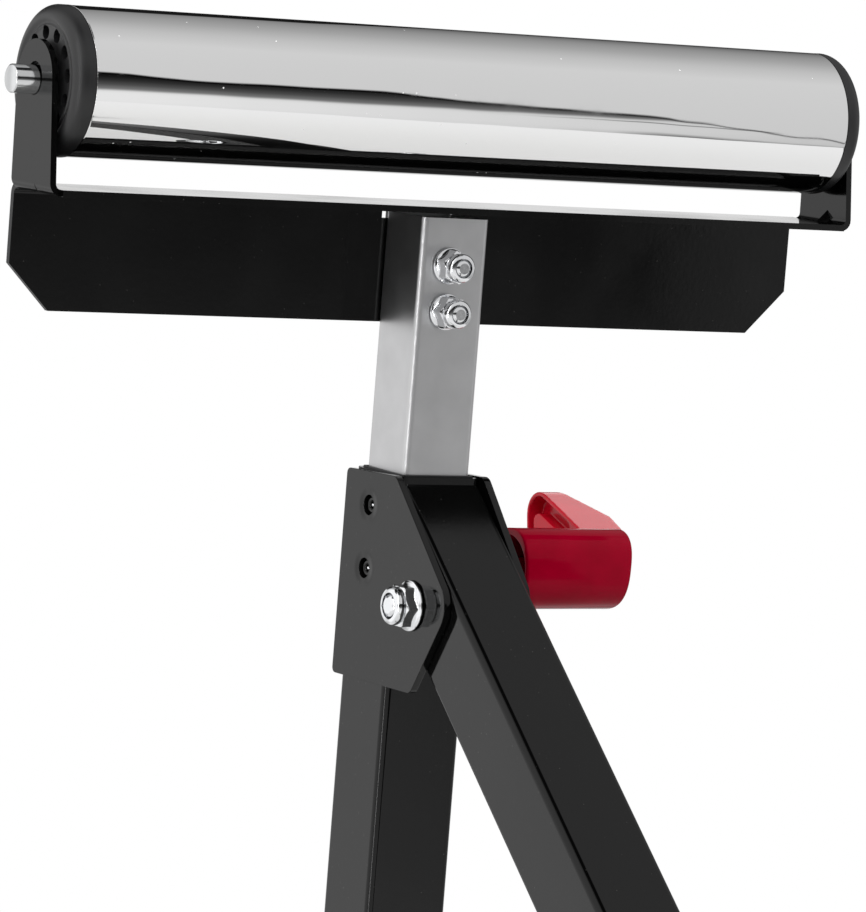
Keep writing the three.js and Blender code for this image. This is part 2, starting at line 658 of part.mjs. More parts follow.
function makeHeadBracket() {
  const strip = extrudeY(strapSection(), -STRAP_FRONT, apronFront - BEND);
  const apron = extrudeX(apronSection(), -apronWidth / 2, apronWidth / 2);
  const axleHole = rod(EAR_HOLE_DIAMETER / 2, -FAR, FAR).translate(0, -ROLLER_AHEAD, earHoleHeight);
  const bent = join(cut(strip, earWaste()), apron, gussetRib(1), gussetRib(-1));
  return cut(
    bent,
    axleHole,
    gussetGroove(1),
    gussetGroove(-1),
    apronChamfer(1),
    apronChamfer(-1),
    reliefHole(1),
    reliefHole(-1),
    ...headBoltHeights.map((z) => frontHole(headBoltHole, z)),
  );
}

add(stand, "head_bracket", makeHeadBracket(), blackCoat);

// Roller: all turned about its own axis
const roller = new THREE.Group();
roller.position.set(0, -ROLLER_AHEAD, axleHeight);
stand.add(roller);
const tubeEnd = ROLLER_LENGTH / 2;
const capFace = tubeEnd + CAP_PROUD - CAP_DISH;
const capWebBack = capFace - CAP_WEB;
const bearingFace = capWebBack - FIT_GAP;
const bearingBack = bearingFace - BEARING_WIDTH;
const axleRadius = AXLE_DIAMETER / 2;
const innerRace = axleRadius + FIT_GAP;
const outerRace = BEARING_DIAMETER / 2;
const ballTrack = (innerRace + outerRace) / 2;
const ballRadius = (outerRace - innerRace) / 2 - RACE_THICKNESS - FIT_GAP;

// End cap on the +x side: bullnose rim, a soft ridge, a dished face, a bearing pocket and a skirt
function makeCap() {
  const skirtRadius = ROLLER_RADIUS - ROLLER_WALL - FIT_GAP;
  const pocket = outerRace + FIT_GAP;
  const rimTop = tubeEnd + CAP_PROUD;
  const rimRadius = ROLLER_RADIUS - CAP_EDGE;
  const skirt = [[skirtRadius - CAP_WALL, tubeEnd - CAP_SKIRT], [skirtRadius, tubeEnd - CAP_SKIRT],
    [skirtRadius, tubeEnd + FIT_GAP], [ROLLER_RADIUS, tubeEnd + FIT_GAP]];
  const rim = roundStretch(rimRadius, rimTop - CAP_EDGE, CAP_EDGE, 0, 90, 3);
  const ridges = [[rimRadius - CAP_RIDGE_STEP, rimTop - CAP_RIDGE / 3],
    [rimRadius - 2 * CAP_RIDGE_STEP, capFace], [rimRadius - 3 * CAP_RIDGE_STEP, capFace + CAP_RIDGE],
    [rimRadius - 4 * CAP_RIDGE_STEP, capFace]];
  const bore = axleRadius + CAP_BORE_MARGIN;
  const face = [[bore, capFace], [bore, capWebBack], [pocket, capWebBack]];
  const housing = [[pocket, bearingBack], [pocket + CAP_WALL, bearingBack], [pocket + CAP_WALL, capWebBack]];
  const back = [[skirtRadius - CAP_WALL, capWebBack], [skirtRadius - CAP_WALL, tubeEnd - CAP_SKIRT]];
  const body = turned([...skirt, ...rim, ...ridges, ...face, ...housing, ...back], ROUND);
  const holes = [];
  for (let i = 0; i < CAP_HOLES; i += 1) {
    const hole = rod(CAP_HOLE_DIAMETER / 2, capWebBack - 1, rimTop, HOLE_ROUND);
    holes.push(hole.translate(0, 0, CAP_HOLE_CIRCLE).rotateX((2 * Math.PI * i) / CAP_HOLES));
  }
  return cut(body, ...holes);
}

// Balls in their cage, one piece
function makeBallCage() {
  const middle = (bearingFace + bearingBack) / 2;
  const half = CAGE_WIDTH / 2;
  const ring = collar(ballTrack - CAGE_WALL / 2, ballTrack + CAGE_WALL / 2, middle - half, middle + half);
  const balls = [];
  for (let i = 0; i < BALL_COUNT; i += 1) {
    const ball = new THREE.SphereGeometry(ballRadius, BALL_ROUND, BALL_ROUND - 2);
    balls.push(ball.translate(middle, 0, ballTrack).rotateX((2 * Math.PI * i) / BALL_COUNT));
  }
  return join(ring, ...balls);
}

// Axle with a clip groove between each cap and its ear
const clipMiddle = (tubeEnd + CAP_PROUD + earInner) / 2;
const grooveHalf = CLIP_THICKNESS / 2 + FIT_GAP;
const grooveRadius = axleRadius - CLIP_GROOVE;

function makeAxle() {
  const half = earOuter + AXLE_OVERHANG;
  const bar = chamferedRod(axleRadius, -half, half, AXLE_CHAMFER);
  const groove = collar(grooveRadius, AXLE_DIAMETER, clipMiddle - grooveHalf, clipMiddle + grooveHalf);
  return cut(bar, groove, mirrored(groove));
}

function makeClip() {
  const half = CLIP_THICKNESS / 2;
  return collar(grooveRadius + FIT_GAP, CLIP_DIAMETER / 2, clipMiddle - half, clipMiddle + half);
}

const raceEdge = innerRace + RACE_THICKNESS;
const raceBore = outerRace - RACE_THICKNESS;

function addPair(name, geometry, material) {
  add(roller, `${name}_right`, geometry, material);
  add(roller, `${name}_left`, mirrored(geometry), material);
}

const rollerBore = ROLLER_RADIUS - ROLLER_WALL;
add(roller, "roller_tube", collar(rollerBore, ROLLER_RADIUS, -tubeEnd, tubeEnd, ROUND), chrome);
add(roller, "axle", makeAxle(), brightSteel);
addPair("end_cap", makeCap(), blackPlastic);
addPair("bearing_outer", collar(raceBore, outerRace, bearingBack, bearingFace), brightSteel);
addPair("bearing_inner", collar(innerRace, raceEdge, bearingBack, bearingFace), brightSteel);
addPair("ball_cage", makeBallCage(), brightSteel);
addPair("axle_clip", makeClip(), zinc);

// Clamp: pad, screw, welded nut and lever on one axis across the column
const clamp = new THREE.Group();
clamp.position.set(0, 0, -CLAMP_DROP);
stand.add(clamp);
const padStart = POST_SIDE / 2 + FIT_GAP;
const padEnd = columnHalf + PAD_PROUD;
const screwStart = padEnd + FIT_GAP;
const clampNutEnd = plateSeat + CLAMP_NUT_LENGTH;
const hubStart = clampNutEnd + LEVER_STANDOFF;
const hubEnd = hubStart + HUB_LENGTH;
const coreStart = hubStart + HUB_HOLLOW;
const screwEnd = coreStart + SCREW_EMBEDDED;
const wingStart = hubEnd - WING_ROOT_WIDTH;

// Teardrop drawn in (y, z): a large round about the hub axis and a small one at the tip
function teardrop(hubRadius, tipRadius) {
  const turn = Math.acos((hubRadius - tipRadius) / WING_REACH);
  const shape = new THREE.Shape();
  shape.absarc(0, 0, hubRadius, turn, 2 * Math.PI - turn);
  shape.absarc(WING_REACH, 0, tipRadius, -turn, turn);
  return shape;
}

// What slopes the wing's outer face down from the hub to the thin tip
function wingSlope() {
  const tipEnd = WING_REACH + WING_TIP;
  const root = [hubEnd - HUB_EDGE, WING_ROOT_REACH];
  const tip = [wingStart + WING_TIP_WIDTH, tipEnd];
  const beyond = [wingStart + WING_TIP_WIDTH, tipEnd + HUB_RADIUS];
  const far = [hubEnd + HUB_RADIUS, tipEnd + HUB_RADIUS];
  const near = [hubEnd + HUB_RADIUS, WING_ROOT_REACH];
  return extrudeZ(polygon(root, near, far, beyond, tip), -2 * HUB_RADIUS, 2 * HUB_RADIUS);
}

function makeLever() {
  const endRadius = HUB_RADIUS - HUB_TAPER;
  const edge = roundStretch(endRadius - HUB_EDGE, hubEnd - HUB_EDGE, HUB_EDGE, 0, 90, 3);
  const hub = turned([[0, hubStart], [HUB_RADIUS, hubStart], ...edge, [0, hubEnd]], ROUND);
  const wing = extrudeX(teardrop(endRadius, WING_TIP), wingStart, hubEnd - HUB_EDGE, NOSE_STEPS);
  const inside = teardrop(endRadius - WING_WALL, WING_TIP - WING_WALL);
  const hollow = extrudeX(inside, wingStart - 1, wingStart + WING_HOLLOW, NOSE_STEPS);
  const wingHollow = cut(hollow, rod(HUB_RADIUS, hubStart, hubEnd, ROUND));
  const hubHollow = rod(HUB_RADIUS - HUB_WALL, hubStart - 1, coreStart, ROUND);
  const screwHole = rod(SCREW_DIAMETER / 2 + FIT_GAP, hubStart, screwEnd + FIT_GAP);
  const shell = cut(join(hub, cut(wing, wingSlope())), wingHollow, hubHollow, screwHole);
  return shell.rotateX(WING_ANGLE);
}

const clampNut = cut(hexagon(CLAMP_NUT_ACROSS, plateSeat, clampNutEnd), rod(clampHole, 0, 2 * clampNutEnd));
add(clamp, "clamp_nut", clampNut, blackCoat);
add(clamp, "clamp_pad", rod(PAD_DIAMETER / 2, padStart, padEnd), brass);
add(clamp, "clamp_screw", chamferedRod(SCREW_DIAMETER / 2, screwStart, screwEnd, AXLE_CHAMFER), brightSteel);
add(clamp, "clamp_lever", makeLever(), redPlastic);

export default root;
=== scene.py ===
# %% [markdown]
# # A folding roller stand
# A roller stand carries the free end of a long board while it is sawn. Its parts come from a packed
# model that already has the right sizes and joints. This lesson gives those parts their looks: soft
# edges, real finishes, threads and welds, and the light of a product photograph.

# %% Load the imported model
import json
import math
import bmesh
import bpy
from mathutils import Matrix, Vector


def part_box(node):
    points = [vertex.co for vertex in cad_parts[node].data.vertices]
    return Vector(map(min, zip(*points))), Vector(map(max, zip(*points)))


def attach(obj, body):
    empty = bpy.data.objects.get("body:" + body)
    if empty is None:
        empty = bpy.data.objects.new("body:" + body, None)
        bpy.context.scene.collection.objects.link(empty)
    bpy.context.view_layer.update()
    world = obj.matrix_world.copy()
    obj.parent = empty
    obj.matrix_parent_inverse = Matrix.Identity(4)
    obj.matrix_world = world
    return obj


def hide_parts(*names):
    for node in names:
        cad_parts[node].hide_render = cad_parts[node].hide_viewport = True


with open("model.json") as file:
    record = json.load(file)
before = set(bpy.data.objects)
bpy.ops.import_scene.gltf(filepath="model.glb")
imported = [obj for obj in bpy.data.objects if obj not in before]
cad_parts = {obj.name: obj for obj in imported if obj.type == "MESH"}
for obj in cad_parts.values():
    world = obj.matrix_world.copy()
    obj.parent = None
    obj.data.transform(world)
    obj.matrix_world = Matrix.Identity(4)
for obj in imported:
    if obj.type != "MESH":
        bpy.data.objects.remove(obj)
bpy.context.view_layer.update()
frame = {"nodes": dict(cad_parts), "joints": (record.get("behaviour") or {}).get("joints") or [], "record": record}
MM = 0.001

# %% [markdown]
# The column leans, and the head, the hinge and the clamp all follow its slope. One matrix holds that
# slope, so that every later piece can be drawn upright, in millimetres, about the column's mouth.

# %% The column's own frame
joints = {joint["name"]: joint for joint in frame["joints"]}
slide = joints["post_height"]["axis"]
LEAN = math.atan2(-slide[1], slide[2])
CLAMP_DROP = 37.0
clamp_point = Vector(joints["clamp_turn"]["pos_m"])
roller_point = Vector(joints["roller_spin"]["pos_m"])
mouth = clamp_point + Vector(slide) * CLAMP_DROP * MM
column_frame = Matrix.Translation(mouth) @ Matrix.Rotation(LEAN, 4, "X") @ Matrix.Scale(MM, 4)
roller_frame = Matrix.Translation(roller_point) @ Matrix.Rotation(LEAN, 4, "X") @ Matrix.Scale(MM, 4)
clamp_frame = column_frame @ Matrix.Translation((0, 0, -CLAMP_DROP))
print("column leans", round(math.degrees(LEAN), 2), "degrees, mouth at", [round(c, 4) for c in mouth])


# %% [markdown]
# The camera comes first, because every later choice is judged through it. It stands a little below
# the head and looks slightly up with a long lens, so parallel edges stay almost parallel.

# %% Camera
def new_object(name, data):
    made = bpy.data.objects.new(name, data)
    bpy.context.scene.collection.objects.link(made)
    return made


camera_data = bpy.data.cameras.new("photo_camera")
camera_data.lens = 206.03
camera_data.sensor_width = 36
camera_data.clip_start = 0.05
camera_data.clip_end = 50
camera = new_object("photo_camera", camera_data)
camera.location = (-1.0455, -1.5742, 0.5164)
camera.rotation_euler = (math.radians(91.591), 0, math.radians(-30.682))
bpy.context.scene.camera = camera
bpy.context.scene.view_settings.view_transform = "Standard"
print("camera stands", round((camera.location - mouth).length, 2), "m from the column's mouth")

# %% [markdown]
# A few helpers serve every node tree. Colours are written as they look on a screen and turned into the
# linear values that light adds up in. One function adds a node, sets it and links it in one go, and
# short ones stand for the nodes used most.


# %% Colour and node helpers
def srgb(code):
    parts = [int(code[i:i + 2], 16) / 255 for i in (1, 3, 5)]
    linear = [c / 12.92 if c <= 0.04045 else ((c + 0.055) / 1.055) ** 2.4 for c in parts]
    return (*linear, 1.0)


def add_node(tree, kind, inputs=None, **settings):
    node = tree.nodes.new(kind)
    for name, value in settings.items():
        setattr(node, name, value)
    for name, value in (inputs or {}).items():
        if isinstance(value, bpy.types.NodeSocket):
            tree.links.new(value, node.inputs[name])
        else:
            node.inputs[name].default_value = value
    return node


def compute(tree, operation, *values):
    """One step of arithmetic."""
    return add_node(tree, "ShaderNodeMath", dict(enumerate(values)), operation=operation).outputs[0]


def multiply(tree, *values):
    return compute(tree, "MULTIPLY", *values)


def spread(tree, value, start, end, low=0.0, high=1.0, **settings):
    """Maps start to end onto low to high, and stays level beyond them."""
    inputs = {"Value": value, "From Min": start, "From Max": end, "To Min": low, "To Max": high}
    return add_node(tree, "ShaderNodeMapRange", inputs, **settings).outputs["Result"]


def mix(tree, share, first, second):
    return add_node(tree, "ShaderNodeMix", {0: share, 6: first, 7: second}, data_type="RGBA").outputs[2]


def ramp(tree, value, stops):
    """Gives each place from 0 to 1 its colour, straight between the stops."""
    node = add_node(tree, "ShaderNodeValToRGB", {"Fac": value})
    elements = node.color_ramp.elements
    while len(elements) < len(stops):
        elements.new(1.0)
    for element, (place, colour) in zip(elements, stops):
        element.position = place
        element.color = colour
    return node.outputs["Color"]


def table(tree, value, rows, reach, span):
    """Reads rows of a value, within reach, and a result, within span, straight between them."""
    (start, end), (low, high) = reach, span
    stops = [((x - start) / (end - start), ((y - low) / (high - low),) * 3 + (1,)) for x, y in rows]
    return spread(tree, ramp(tree, spread(tree, value, start, end), stops), 0.0, 1.0, low, high)


print("mid grey becomes", round(srgb("#808080")[0], 3))

# %% [markdown]
# A polished roller shows the room more than itself. The room here is a soft ring of light about the
# roller's axis: a pale floor, a dark gap at eye level in front that narrows to the right, a grey
# softbox above it, a white wall on the left and the white backdrop behind. The camera itself sees
# plain white wherever it looks past the stand.

# %% World
# Degrees about the roller's axis, 0 in front and 90 above, with the light that comes from there
FLOOR_LIGHT = [(-180, 1.0), (-170, 1.0), (-163, 0.5), (-150, 0.7), (-60, 0.8), (-45, 0.86), (-30, 0.95),
               (-20, 0.95), (-17, 0.88), (-13.5, 0.23), (-7, 0.09), (-1, 0.034), (5, 0.01), (20, 0.003)]
SOFTBOX_LIGHT = [(-40, 0.71), (60, 0.76), (84, 0.63), (106, 0.45), (128, 0.32), (144, 0.2), (154, 0.05),
                 (160, 0.03), (164, 1.0), (180, 1.0)]
# Sideways reach of the view at which the floor starts and stops to dim, and how far it dims
FLOOR_NEAR, FLOOR_FAR, FLOOR_DIM = 0.46, 0.57, 0.74
world = bpy.data.worlds.new("studio")
bpy.context.scene.world = world
world.use_nodes = True
room = world.node_tree
room.nodes.clear()
aim = add_node(room, "ShaderNodeTexCoord").outputs["Generated"]
sideways, inward, upward = add_node(room, "ShaderNodeSeparateXYZ", {"Vector": aim}).outputs
turn = compute(room, "ARCTAN2", upward, multiply(room, inward, -1.0))
turn = compute(room, "DEGREES", turn)
floor_light = table(room, turn, FLOOR_LIGHT, reach=(-180, 180), span=(0, 1))
dimming = spread(room, sideways, FLOOR_NEAR, FLOOR_FAR, 1.0, FLOOR_DIM)
floor_light = multiply(room, floor_light, dimming)
softbox_light = table(room, turn, SOFTBOX_LIGHT, reach=(-180, 180), span=(0, 1))
print("the room has", len(FLOOR_LIGHT) + len(SOFTBOX_LIGHT), "steps of light")

# %% The dark flag over the softbox's left end
# Where the flag's edge lies, in degrees, for each sideways reach of the view
FLAG_EDGE = [(0.44, 136), (0.486, 138), (0.503, 150), (0.516, 164)]
FLAG_END, FLAG_BLUR = 162.0, 1.5
FLAG_BLACK = (0.01, 0.01, 0.01, 1)
flag_edge = table(room, sideways, FLAG_EDGE, reach=(0.44, 0.52), span=(130, 170))
past_edge = compute(room, "SUBTRACT", turn, flag_edge)
covered = spread(room, past_edge, -FLAG_BLUR, FLAG_BLUR)
covered = multiply(room, covered, compute(room, "LESS_THAN", turn, FLAG_END))
softbox_light = mix(room, covered, softbox_light, FLAG_BLACK)
print("the flag ends at", FLAG_END, "degrees")

# %% [markdown]
# A second black flag hangs overhead, left of all that the roller shows. It draws a fine dark line along
# the rounded corners of the painted tubes.

# %% The flag overhead
OVERHEAD, OVERHEAD_HALF, OVERHEAD_BLUR = 75.0, 14.0, 2.0
# Sideways reach of its left and right sides, each with the blur of that side
LEFT_SIDE, LEFT_BLUR = -0.33, 0.06
RIGHT_SIDE, RIGHT_BLUR = 0.40, 0.03
off = compute(room, "ABSOLUTE", compute(room, "SUBTRACT", turn, OVERHEAD))
covered = spread(room, off, OVERHEAD_HALF + OVERHEAD_BLUR, OVERHEAD_HALF - OVERHEAD_BLUR)
for side, blur in ((LEFT_SIDE, LEFT_BLUR), (RIGHT_SIDE, -RIGHT_BLUR)):
    covered = multiply(room, covered, spread(room, sideways, side - blur, side + blur))
softbox_light = mix(room, covered, softbox_light, FLAG_BLACK)
print("the flag overhead covers", 2 * OVERHEAD_HALF, "degrees")

# %% [markdown]
# The floor of the room has a few dark seams. In the roller they become thin lines that run along it, at
# its left end and again at its right.

# %% Seams in the floor
# Two places (sideways reach, degrees), half width in degrees, darkness, and the reach where a seam fades in
SEAMS = [((0.45, -38), (0.475, -37), 0.8, 0.45, (0.49, 0.475)),
         ((0.45, -64), (0.475, -61), 1.0, 0.8, (0.49, 0.475)),
         ((0.545, -40), (0.573, -48), 4.5, 0.7, (0.53, 0.55)),
         ((0.54, -82), (0.573, -66), 1.2, 0.7, (0.52, 0.54)),
         ((0.54, -19), (0.565, -25), 0.9, 0.6, (0.52, 0.54))]
# A seam is darkest within the first share of its half width, and gone beyond the second
SEAM_CORE, SEAM_SKIRT = 0.4, 1.4


def darkened(light, gap, half, dark, shown=1.0):
    """Takes light away where gap, in degrees, is smaller than half a seam's width."""
    off = compute(room, "ABSOLUTE", gap)
    cover = spread(room, off, half * SEAM_CORE, half * SEAM_SKIRT, dark, 0.0)
    cover = multiply(room, cover, shown)
    return multiply(room, light, compute(room, "SUBTRACT", 1.0, cover))


for (x0, low), (x1, high), half, dark, fade in SEAMS:
    gap = compute(room, "SUBTRACT", turn, spread(room, sideways, x0, x1, low, high))
    floor_light = darkened(floor_light, gap, half, dark, spread(room, sideways, *fade))
print("seams:", len(SEAMS))

# %% The softbox's slanted edge, the white wall and what the camera sees
# Where the softbox's lower edge lies, in degrees, for each sideways reach of the view
SOFTBOX_EDGE = [(0.44, 11), (0.453, 11), (0.468, 6.5), (0.5, 6), (0.516, -2), (0.532, -5.4), (0.547, -10),
                (0.575, -34)]
EDGE_BLUR = 1.2
RIM_MIDDLE, RIM_HALF, RIM_DARK = 2.4, 1.3, 0.7
# Sideways reach where the wall starts, is full and is brightest, its light there, and degrees off the front
WALL_START, WALL_FULL, WALL_FAR = -0.2, -0.42, -0.52
WALL_LIGHT, WALL_FAR_LIGHT = 0.86, 1.24
WALL_OFF, WALL_ON = 30.0, 62.0
softbox_edge = table(room, sideways, SOFTBOX_EDGE, reach=(0.44, 0.58), span=(-40, 20))
above = compute(room, "SUBTRACT", turn, softbox_edge)
floor_light = darkened(floor_light, compute(room, "ADD", above, RIM_MIDDLE), RIM_HALF, RIM_DARK)
ring_light = mix(room, spread(room, above, -EDGE_BLUR, EDGE_BLUR), floor_light, softbox_light)
far_left = spread(room, sideways, WALL_START, WALL_FULL, interpolation_type="SMOOTHSTEP")
off_front = compute(room, "ABSOLUTE", turn)
off_front = spread(room, off_front, WALL_OFF, WALL_ON, interpolation_type="SMOOTHSTEP")
wall = multiply(room, far_left, off_front)
wall_light = spread(room, sideways, WALL_FULL, WALL_FAR, WALL_LIGHT, WALL_FAR_LIGHT)
all_light = mix(room, wall, ring_light, wall_light)
studio = add_node(room, "ShaderNodeBackground", {"Color": all_light})
white = add_node(room, "ShaderNodeBackground", {"Color": (1, 1, 1, 1)})
seen = add_node(room, "ShaderNodeLightPath").outputs["Is Camera Ray"]
shown = add_node(room, "ShaderNodeMixShader", {0: seen, 1: studio.outputs[0], 2: white.outputs[0]})
add_node(room, "ShaderNodeOutputWorld", {"Surface": shown.outputs[0]})
print("world nodes:", len(room.nodes))


# %% [markdown]
# The floor is a pale disc that catches the stand's shadow. Far from the stand it fades to the same
# white as the background, so no edge shows from any side.

# %% Floor
def round_angles(count):
    return [2 * math.pi * i / count for i in range(count)]


FLOOR_RADIUS, FLOOR_SIDES, FLOOR_LEVEL = 1.05, 96, -0.0005
FADE_START, FADE_END = 0.4, 1.0
floor_rim = [(FLOOR_RADIUS * math.cos(a), FLOOR_RADIUS * math.sin(a), FLOOR_LEVEL)
             for a in round_angles(FLOOR_SIDES)]
floor_mesh = bpy.data.meshes.new("studio_floor")
floor_mesh.from_pydata(floor_rim, [], [list(range(FLOOR_SIDES))])
floor = new_object("studio_floor", floor_mesh)
floor_paint = bpy.data.materials.new("pale_floor_paint")
floor_paint.use_nodes = True
tree = floor_paint.node_tree
tree.nodes.clear()
spot = add_node(tree, "ShaderNodeTexCoord").outputs["Object"]
away = add_node(tree, "ShaderNodeVectorMath", {0: spot}, operation="LENGTH").outputs["Value"]
fade = spread(tree, away, FADE_START, FADE_END, interpolation_type="SMOOTHSTEP")
rays = add_node(tree, "ShaderNodeLightPath").outputs
seen = compute(tree, "MAXIMUM", rays["Is Glossy Ray"], rays["Is Transmission Ray"])
seen = compute(tree, "MAXIMUM", rays["Is Camera Ray"], seen)
paint = add_node(tree, "ShaderNodeBsdfDiffuse", {"Color": srgb("#f0f0ef")})
glow = add_node(tree, "ShaderNodeEmission", {"Color": (1, 1, 1, 1)})
share = multiply(tree, fade, seen)
surface = add_node(tree, "ShaderNodeMixShader", {0: share, 1: paint.outputs[0], 2: glow.outputs[0]})
add_node(tree, "ShaderNodeOutputMaterial", {"Surface": surface.outputs[0]})
floor_mesh.materials.append(floor_paint)
print("floor radius", FLOOR_RADIUS, "m")


# %% [markdown]
# Two large lamps give the soft shading: one above on the left, one above on the right. They stay out
# of reflections, because the room already paints those. A tall narrow strip on the left does the
# opposite: it lights nothing, but its reflection draws a bright line along every rounded edge.

# %% Lamps
def area_lamp(name, width, height, power, place, target):
    lamp_data = bpy.data.lights.new(name, "AREA")
    lamp_data.shape = "RECTANGLE"
    lamp_data.size = width
    lamp_data.size_y = height
    lamp_data.energy = power
    lamp = new_object(name, lamp_data)
    lamp.location = place
    lamp.rotation_euler = (target - lamp.location).to_track_quat("-Z", "Y").to_euler()
    return lamp


SOFTBOXES = [("key_softbox", 26.0, (-1.1, -1.3, 2.0)), ("fill_softbox", 14.0, (1.3, -0.6, 1.9))]
for name, power, place in SOFTBOXES:
    softbox = area_lamp(name, width=1.4, height=1.4, power=power, place=place, target=mouth)
    softbox.visible_glossy = False
strip = area_lamp("edge_strip", width=0.09, height=3.0, power=13.0, place=(-1.75, -0.62, 1.15), target=mouth)
# The strip stands upright instead of leaning towards the column's mouth
strip.rotation_euler = (math.pi / 2, 0, math.radians(-65))
strip.visible_diffuse = False


# %% [markdown]
# Every finish starts the same way: a new material whose main shader has its plain values set, and the
# coordinates of the piece to draw patterns on. One unit of those coordinates is a metre, so a pattern
# that repeats every few millimetres has a scale of one over that size.

# %% Starting a finish
def start_finish(name, colour, metallic, roughness, **sockets):
    material = bpy.data.materials.new(name)
    material.use_nodes = True
    tree = material.node_tree
    shader = tree.nodes["Principled BSDF"]
    sockets = {"Base_Color": srgb(colour), "Metallic": metallic, "Roughness": roughness, **sockets}
    for socket, value in sockets.items():
        shader.inputs[socket.replace("_", " ")].default_value = value
    spot = add_node(tree, "ShaderNodeTexCoord").outputs["Object"]
    return material, tree, shader, spot


def feed(tree, shader, **sockets):
    for name, socket in sockets.items():
        tree.links.new(socket, shader.inputs[name.replace("_", " ")])


def per_mm(size):
    return 1 / (size * MM)


def stretched(tree, where, *sizes):
    """Coordinates in which one unit is the given number of millimetres along x, y and z."""
    inputs = {"Vector": where, "Scale": [per_mm(size) for size in sizes]}
    return add_node(tree, "ShaderNodeMapping", inputs).outputs[0]


def noise(tree, where, scale, detail, roughness=0.5):
    inputs = {"Vector": where, "Scale": scale, "Detail": detail, "Roughness": roughness}
    return add_node(tree, "ShaderNodeTexNoise", inputs).outputs[0]


def relief(tree, height, strength, depth, **under):
    inputs = {"Height": height, "Strength": strength, "Distance": depth * MM, **under}
    return add_node(tree, "ShaderNodeBump", inputs).outputs[0]


print("a 2 mm pattern has scale", per_mm(2))

# %% [markdown]
# The frame is mild steel with a black polyester powder coat. The powder melts into a glossy skin with
# a faint orange peel a couple of millimetres wide, and single grains of dust settle on it. The left
# hinge plate's coat also sinks into a shallow dimple round each rivet.

# %% Black powder coat
COAT_BLACK, DUST_GREY = "#050505", "#424240"
RIVET_DROPS = (12.0, CLAMP_DROP)
PLATE_FACE = 21.3
DIMPLE_RADIUS, DIMPLE_DEPTH, FLAT_SHARE = 8.5, 0.4, 0.3


def make_black_coat(name, dimples=()):
    material, tree, shader, spot = start_finish(name, COAT_BLACK, 0.0, 0.1, IOR=1.35)
    skin = relief(tree, noise(tree, spot, per_mm(2.2), detail=2.0), strength=0.16, depth=0.05)
    gloss = spread(tree, noise(tree, spot, per_mm(38), detail=3.0), 0.3, 0.7, 0.06, 0.14)
    grains = add_node(tree, "ShaderNodeTexVoronoi", {"Vector": spot, "Scale": per_mm(3)}).outputs
    speck = spread(tree, grains["Distance"], 0.045, 0.1, 1.0, 0.0)
    chance = add_node(tree, "ShaderNodeSeparateColor", {"Color": grains["Color"]}).outputs["Red"]
    speck = multiply(tree, speck, spread(tree, chance, 0.55, 1.0))
    tone = mix(tree, speck, srgb(COAT_BLACK), srgb(DUST_GREY))
    for centre in dimples:
        away = add_node(tree, "ShaderNodeVectorMath", {0: spot, 1: centre}, operation="DISTANCE")
        bowl = spread(tree, away.outputs["Value"], DIMPLE_RADIUS * FLAT_SHARE * MM, DIMPLE_RADIUS * MM,
                      interpolation_type="SMOOTHERSTEP")
        skin = relief(tree, bowl, strength=1.0, depth=DIMPLE_DEPTH, Normal=skin)
    feed(tree, shader, Base_Color=tone, Roughness=gloss, Normal=skin)
    return material


black_coat = make_black_coat("black_powder_coat")
dimple_centres = [column_frame @ Vector((-PLATE_FACE, 0, -drop)) for drop in RIVET_DROPS]
plate_coat = make_black_coat("black_powder_coat_dimpled", dimple_centres)
print("black coat and", len(dimple_centres), "dimples")

# %% [markdown]
# The roller is drawn steel tube with bright chrome plating. Chrome reflects almost everything; only
# the tube beneath it waves a little along its length, handling leaves faint smudges, and a few flecks
# of dust lie on it.

# %% Chrome plating
chrome, tree, shader, spot = start_finish("chrome_plated_steel", "#e9e9e9", 1.0, 0.045)
wave = noise(tree, stretched(tree, spot, 90, 26, 26), scale=1.0, detail=2.0)
smudge = noise(tree, spot, per_mm(30), detail=5.0, roughness=0.65)
dust = add_node(tree, "ShaderNodeTexVoronoi", {"Vector": spot, "Scale": per_mm(9)}).outputs["Distance"]
feed(tree, shader, Normal=relief(tree, wave, strength=0.4, depth=0.5),
     Metallic=spread(tree, dust, 0.03, 0.045), Roughness=spread(tree, smudge, 0.5, 0.75, 0.015, 0.07))
print("chrome nodes:", len(tree.nodes))

# %% [markdown]
# The post is cold-rolled tube with a thin zinc plating. Rolling and sliding leave fine lines along it,
# and the plating has soft pale and dark clouds.

# %% Zinc-plated post
zinc, tree, shader, spot = start_finish("zinc_plated_steel", "#bbbbbc", 1.0, 0.33)
upright = add_node(tree, "ShaderNodeMapping", {"Vector": spot, "Rotation": (-LEAN, 0, 0)}).outputs[0]
lines = noise(tree, stretched(tree, upright, 0.5, 0.5, 60), scale=1.0, detail=3.0)
cloud = noise(tree, spot, per_mm(14), detail=4.0)
tone = ramp(tree, cloud, [(0.3, srgb("#b6b6b7")), (0.7, srgb("#c0c0c1"))])
feed(tree, shader, Normal=relief(tree, lines, strength=0.12, depth=0.03), Base_Color=tone,
     Roughness=spread(tree, cloud, 0.0, 1.0, 0.3, 0.4))
print("zinc nodes:", len(tree.nodes))

# %% [markdown]
# Nuts and bolts are bright zinc too, but turned and tumbled, so they shine more and show only small
# dents and a slightly uneven gloss.

# %% Bright fasteners
bright_steel, tree, shader, spot = start_finish("bright_zinc_fastener", "#e2e3e5", 1.0, 0.1)
grain = noise(tree, spot, per_mm(1.8), detail=3.0)
gloss = spread(tree, grain, 0.0, 1.0, 0.04, 0.18)
feed(tree, shader, Roughness=gloss, Normal=relief(tree, grain, strength=0.15, depth=0.05))
print("fastener nodes:", len(tree.nodes))

# %% [markdown]
# The axle is plain cold-drawn bar. It is greyer than the plated nuts, and fine drawing lines run along
# it.

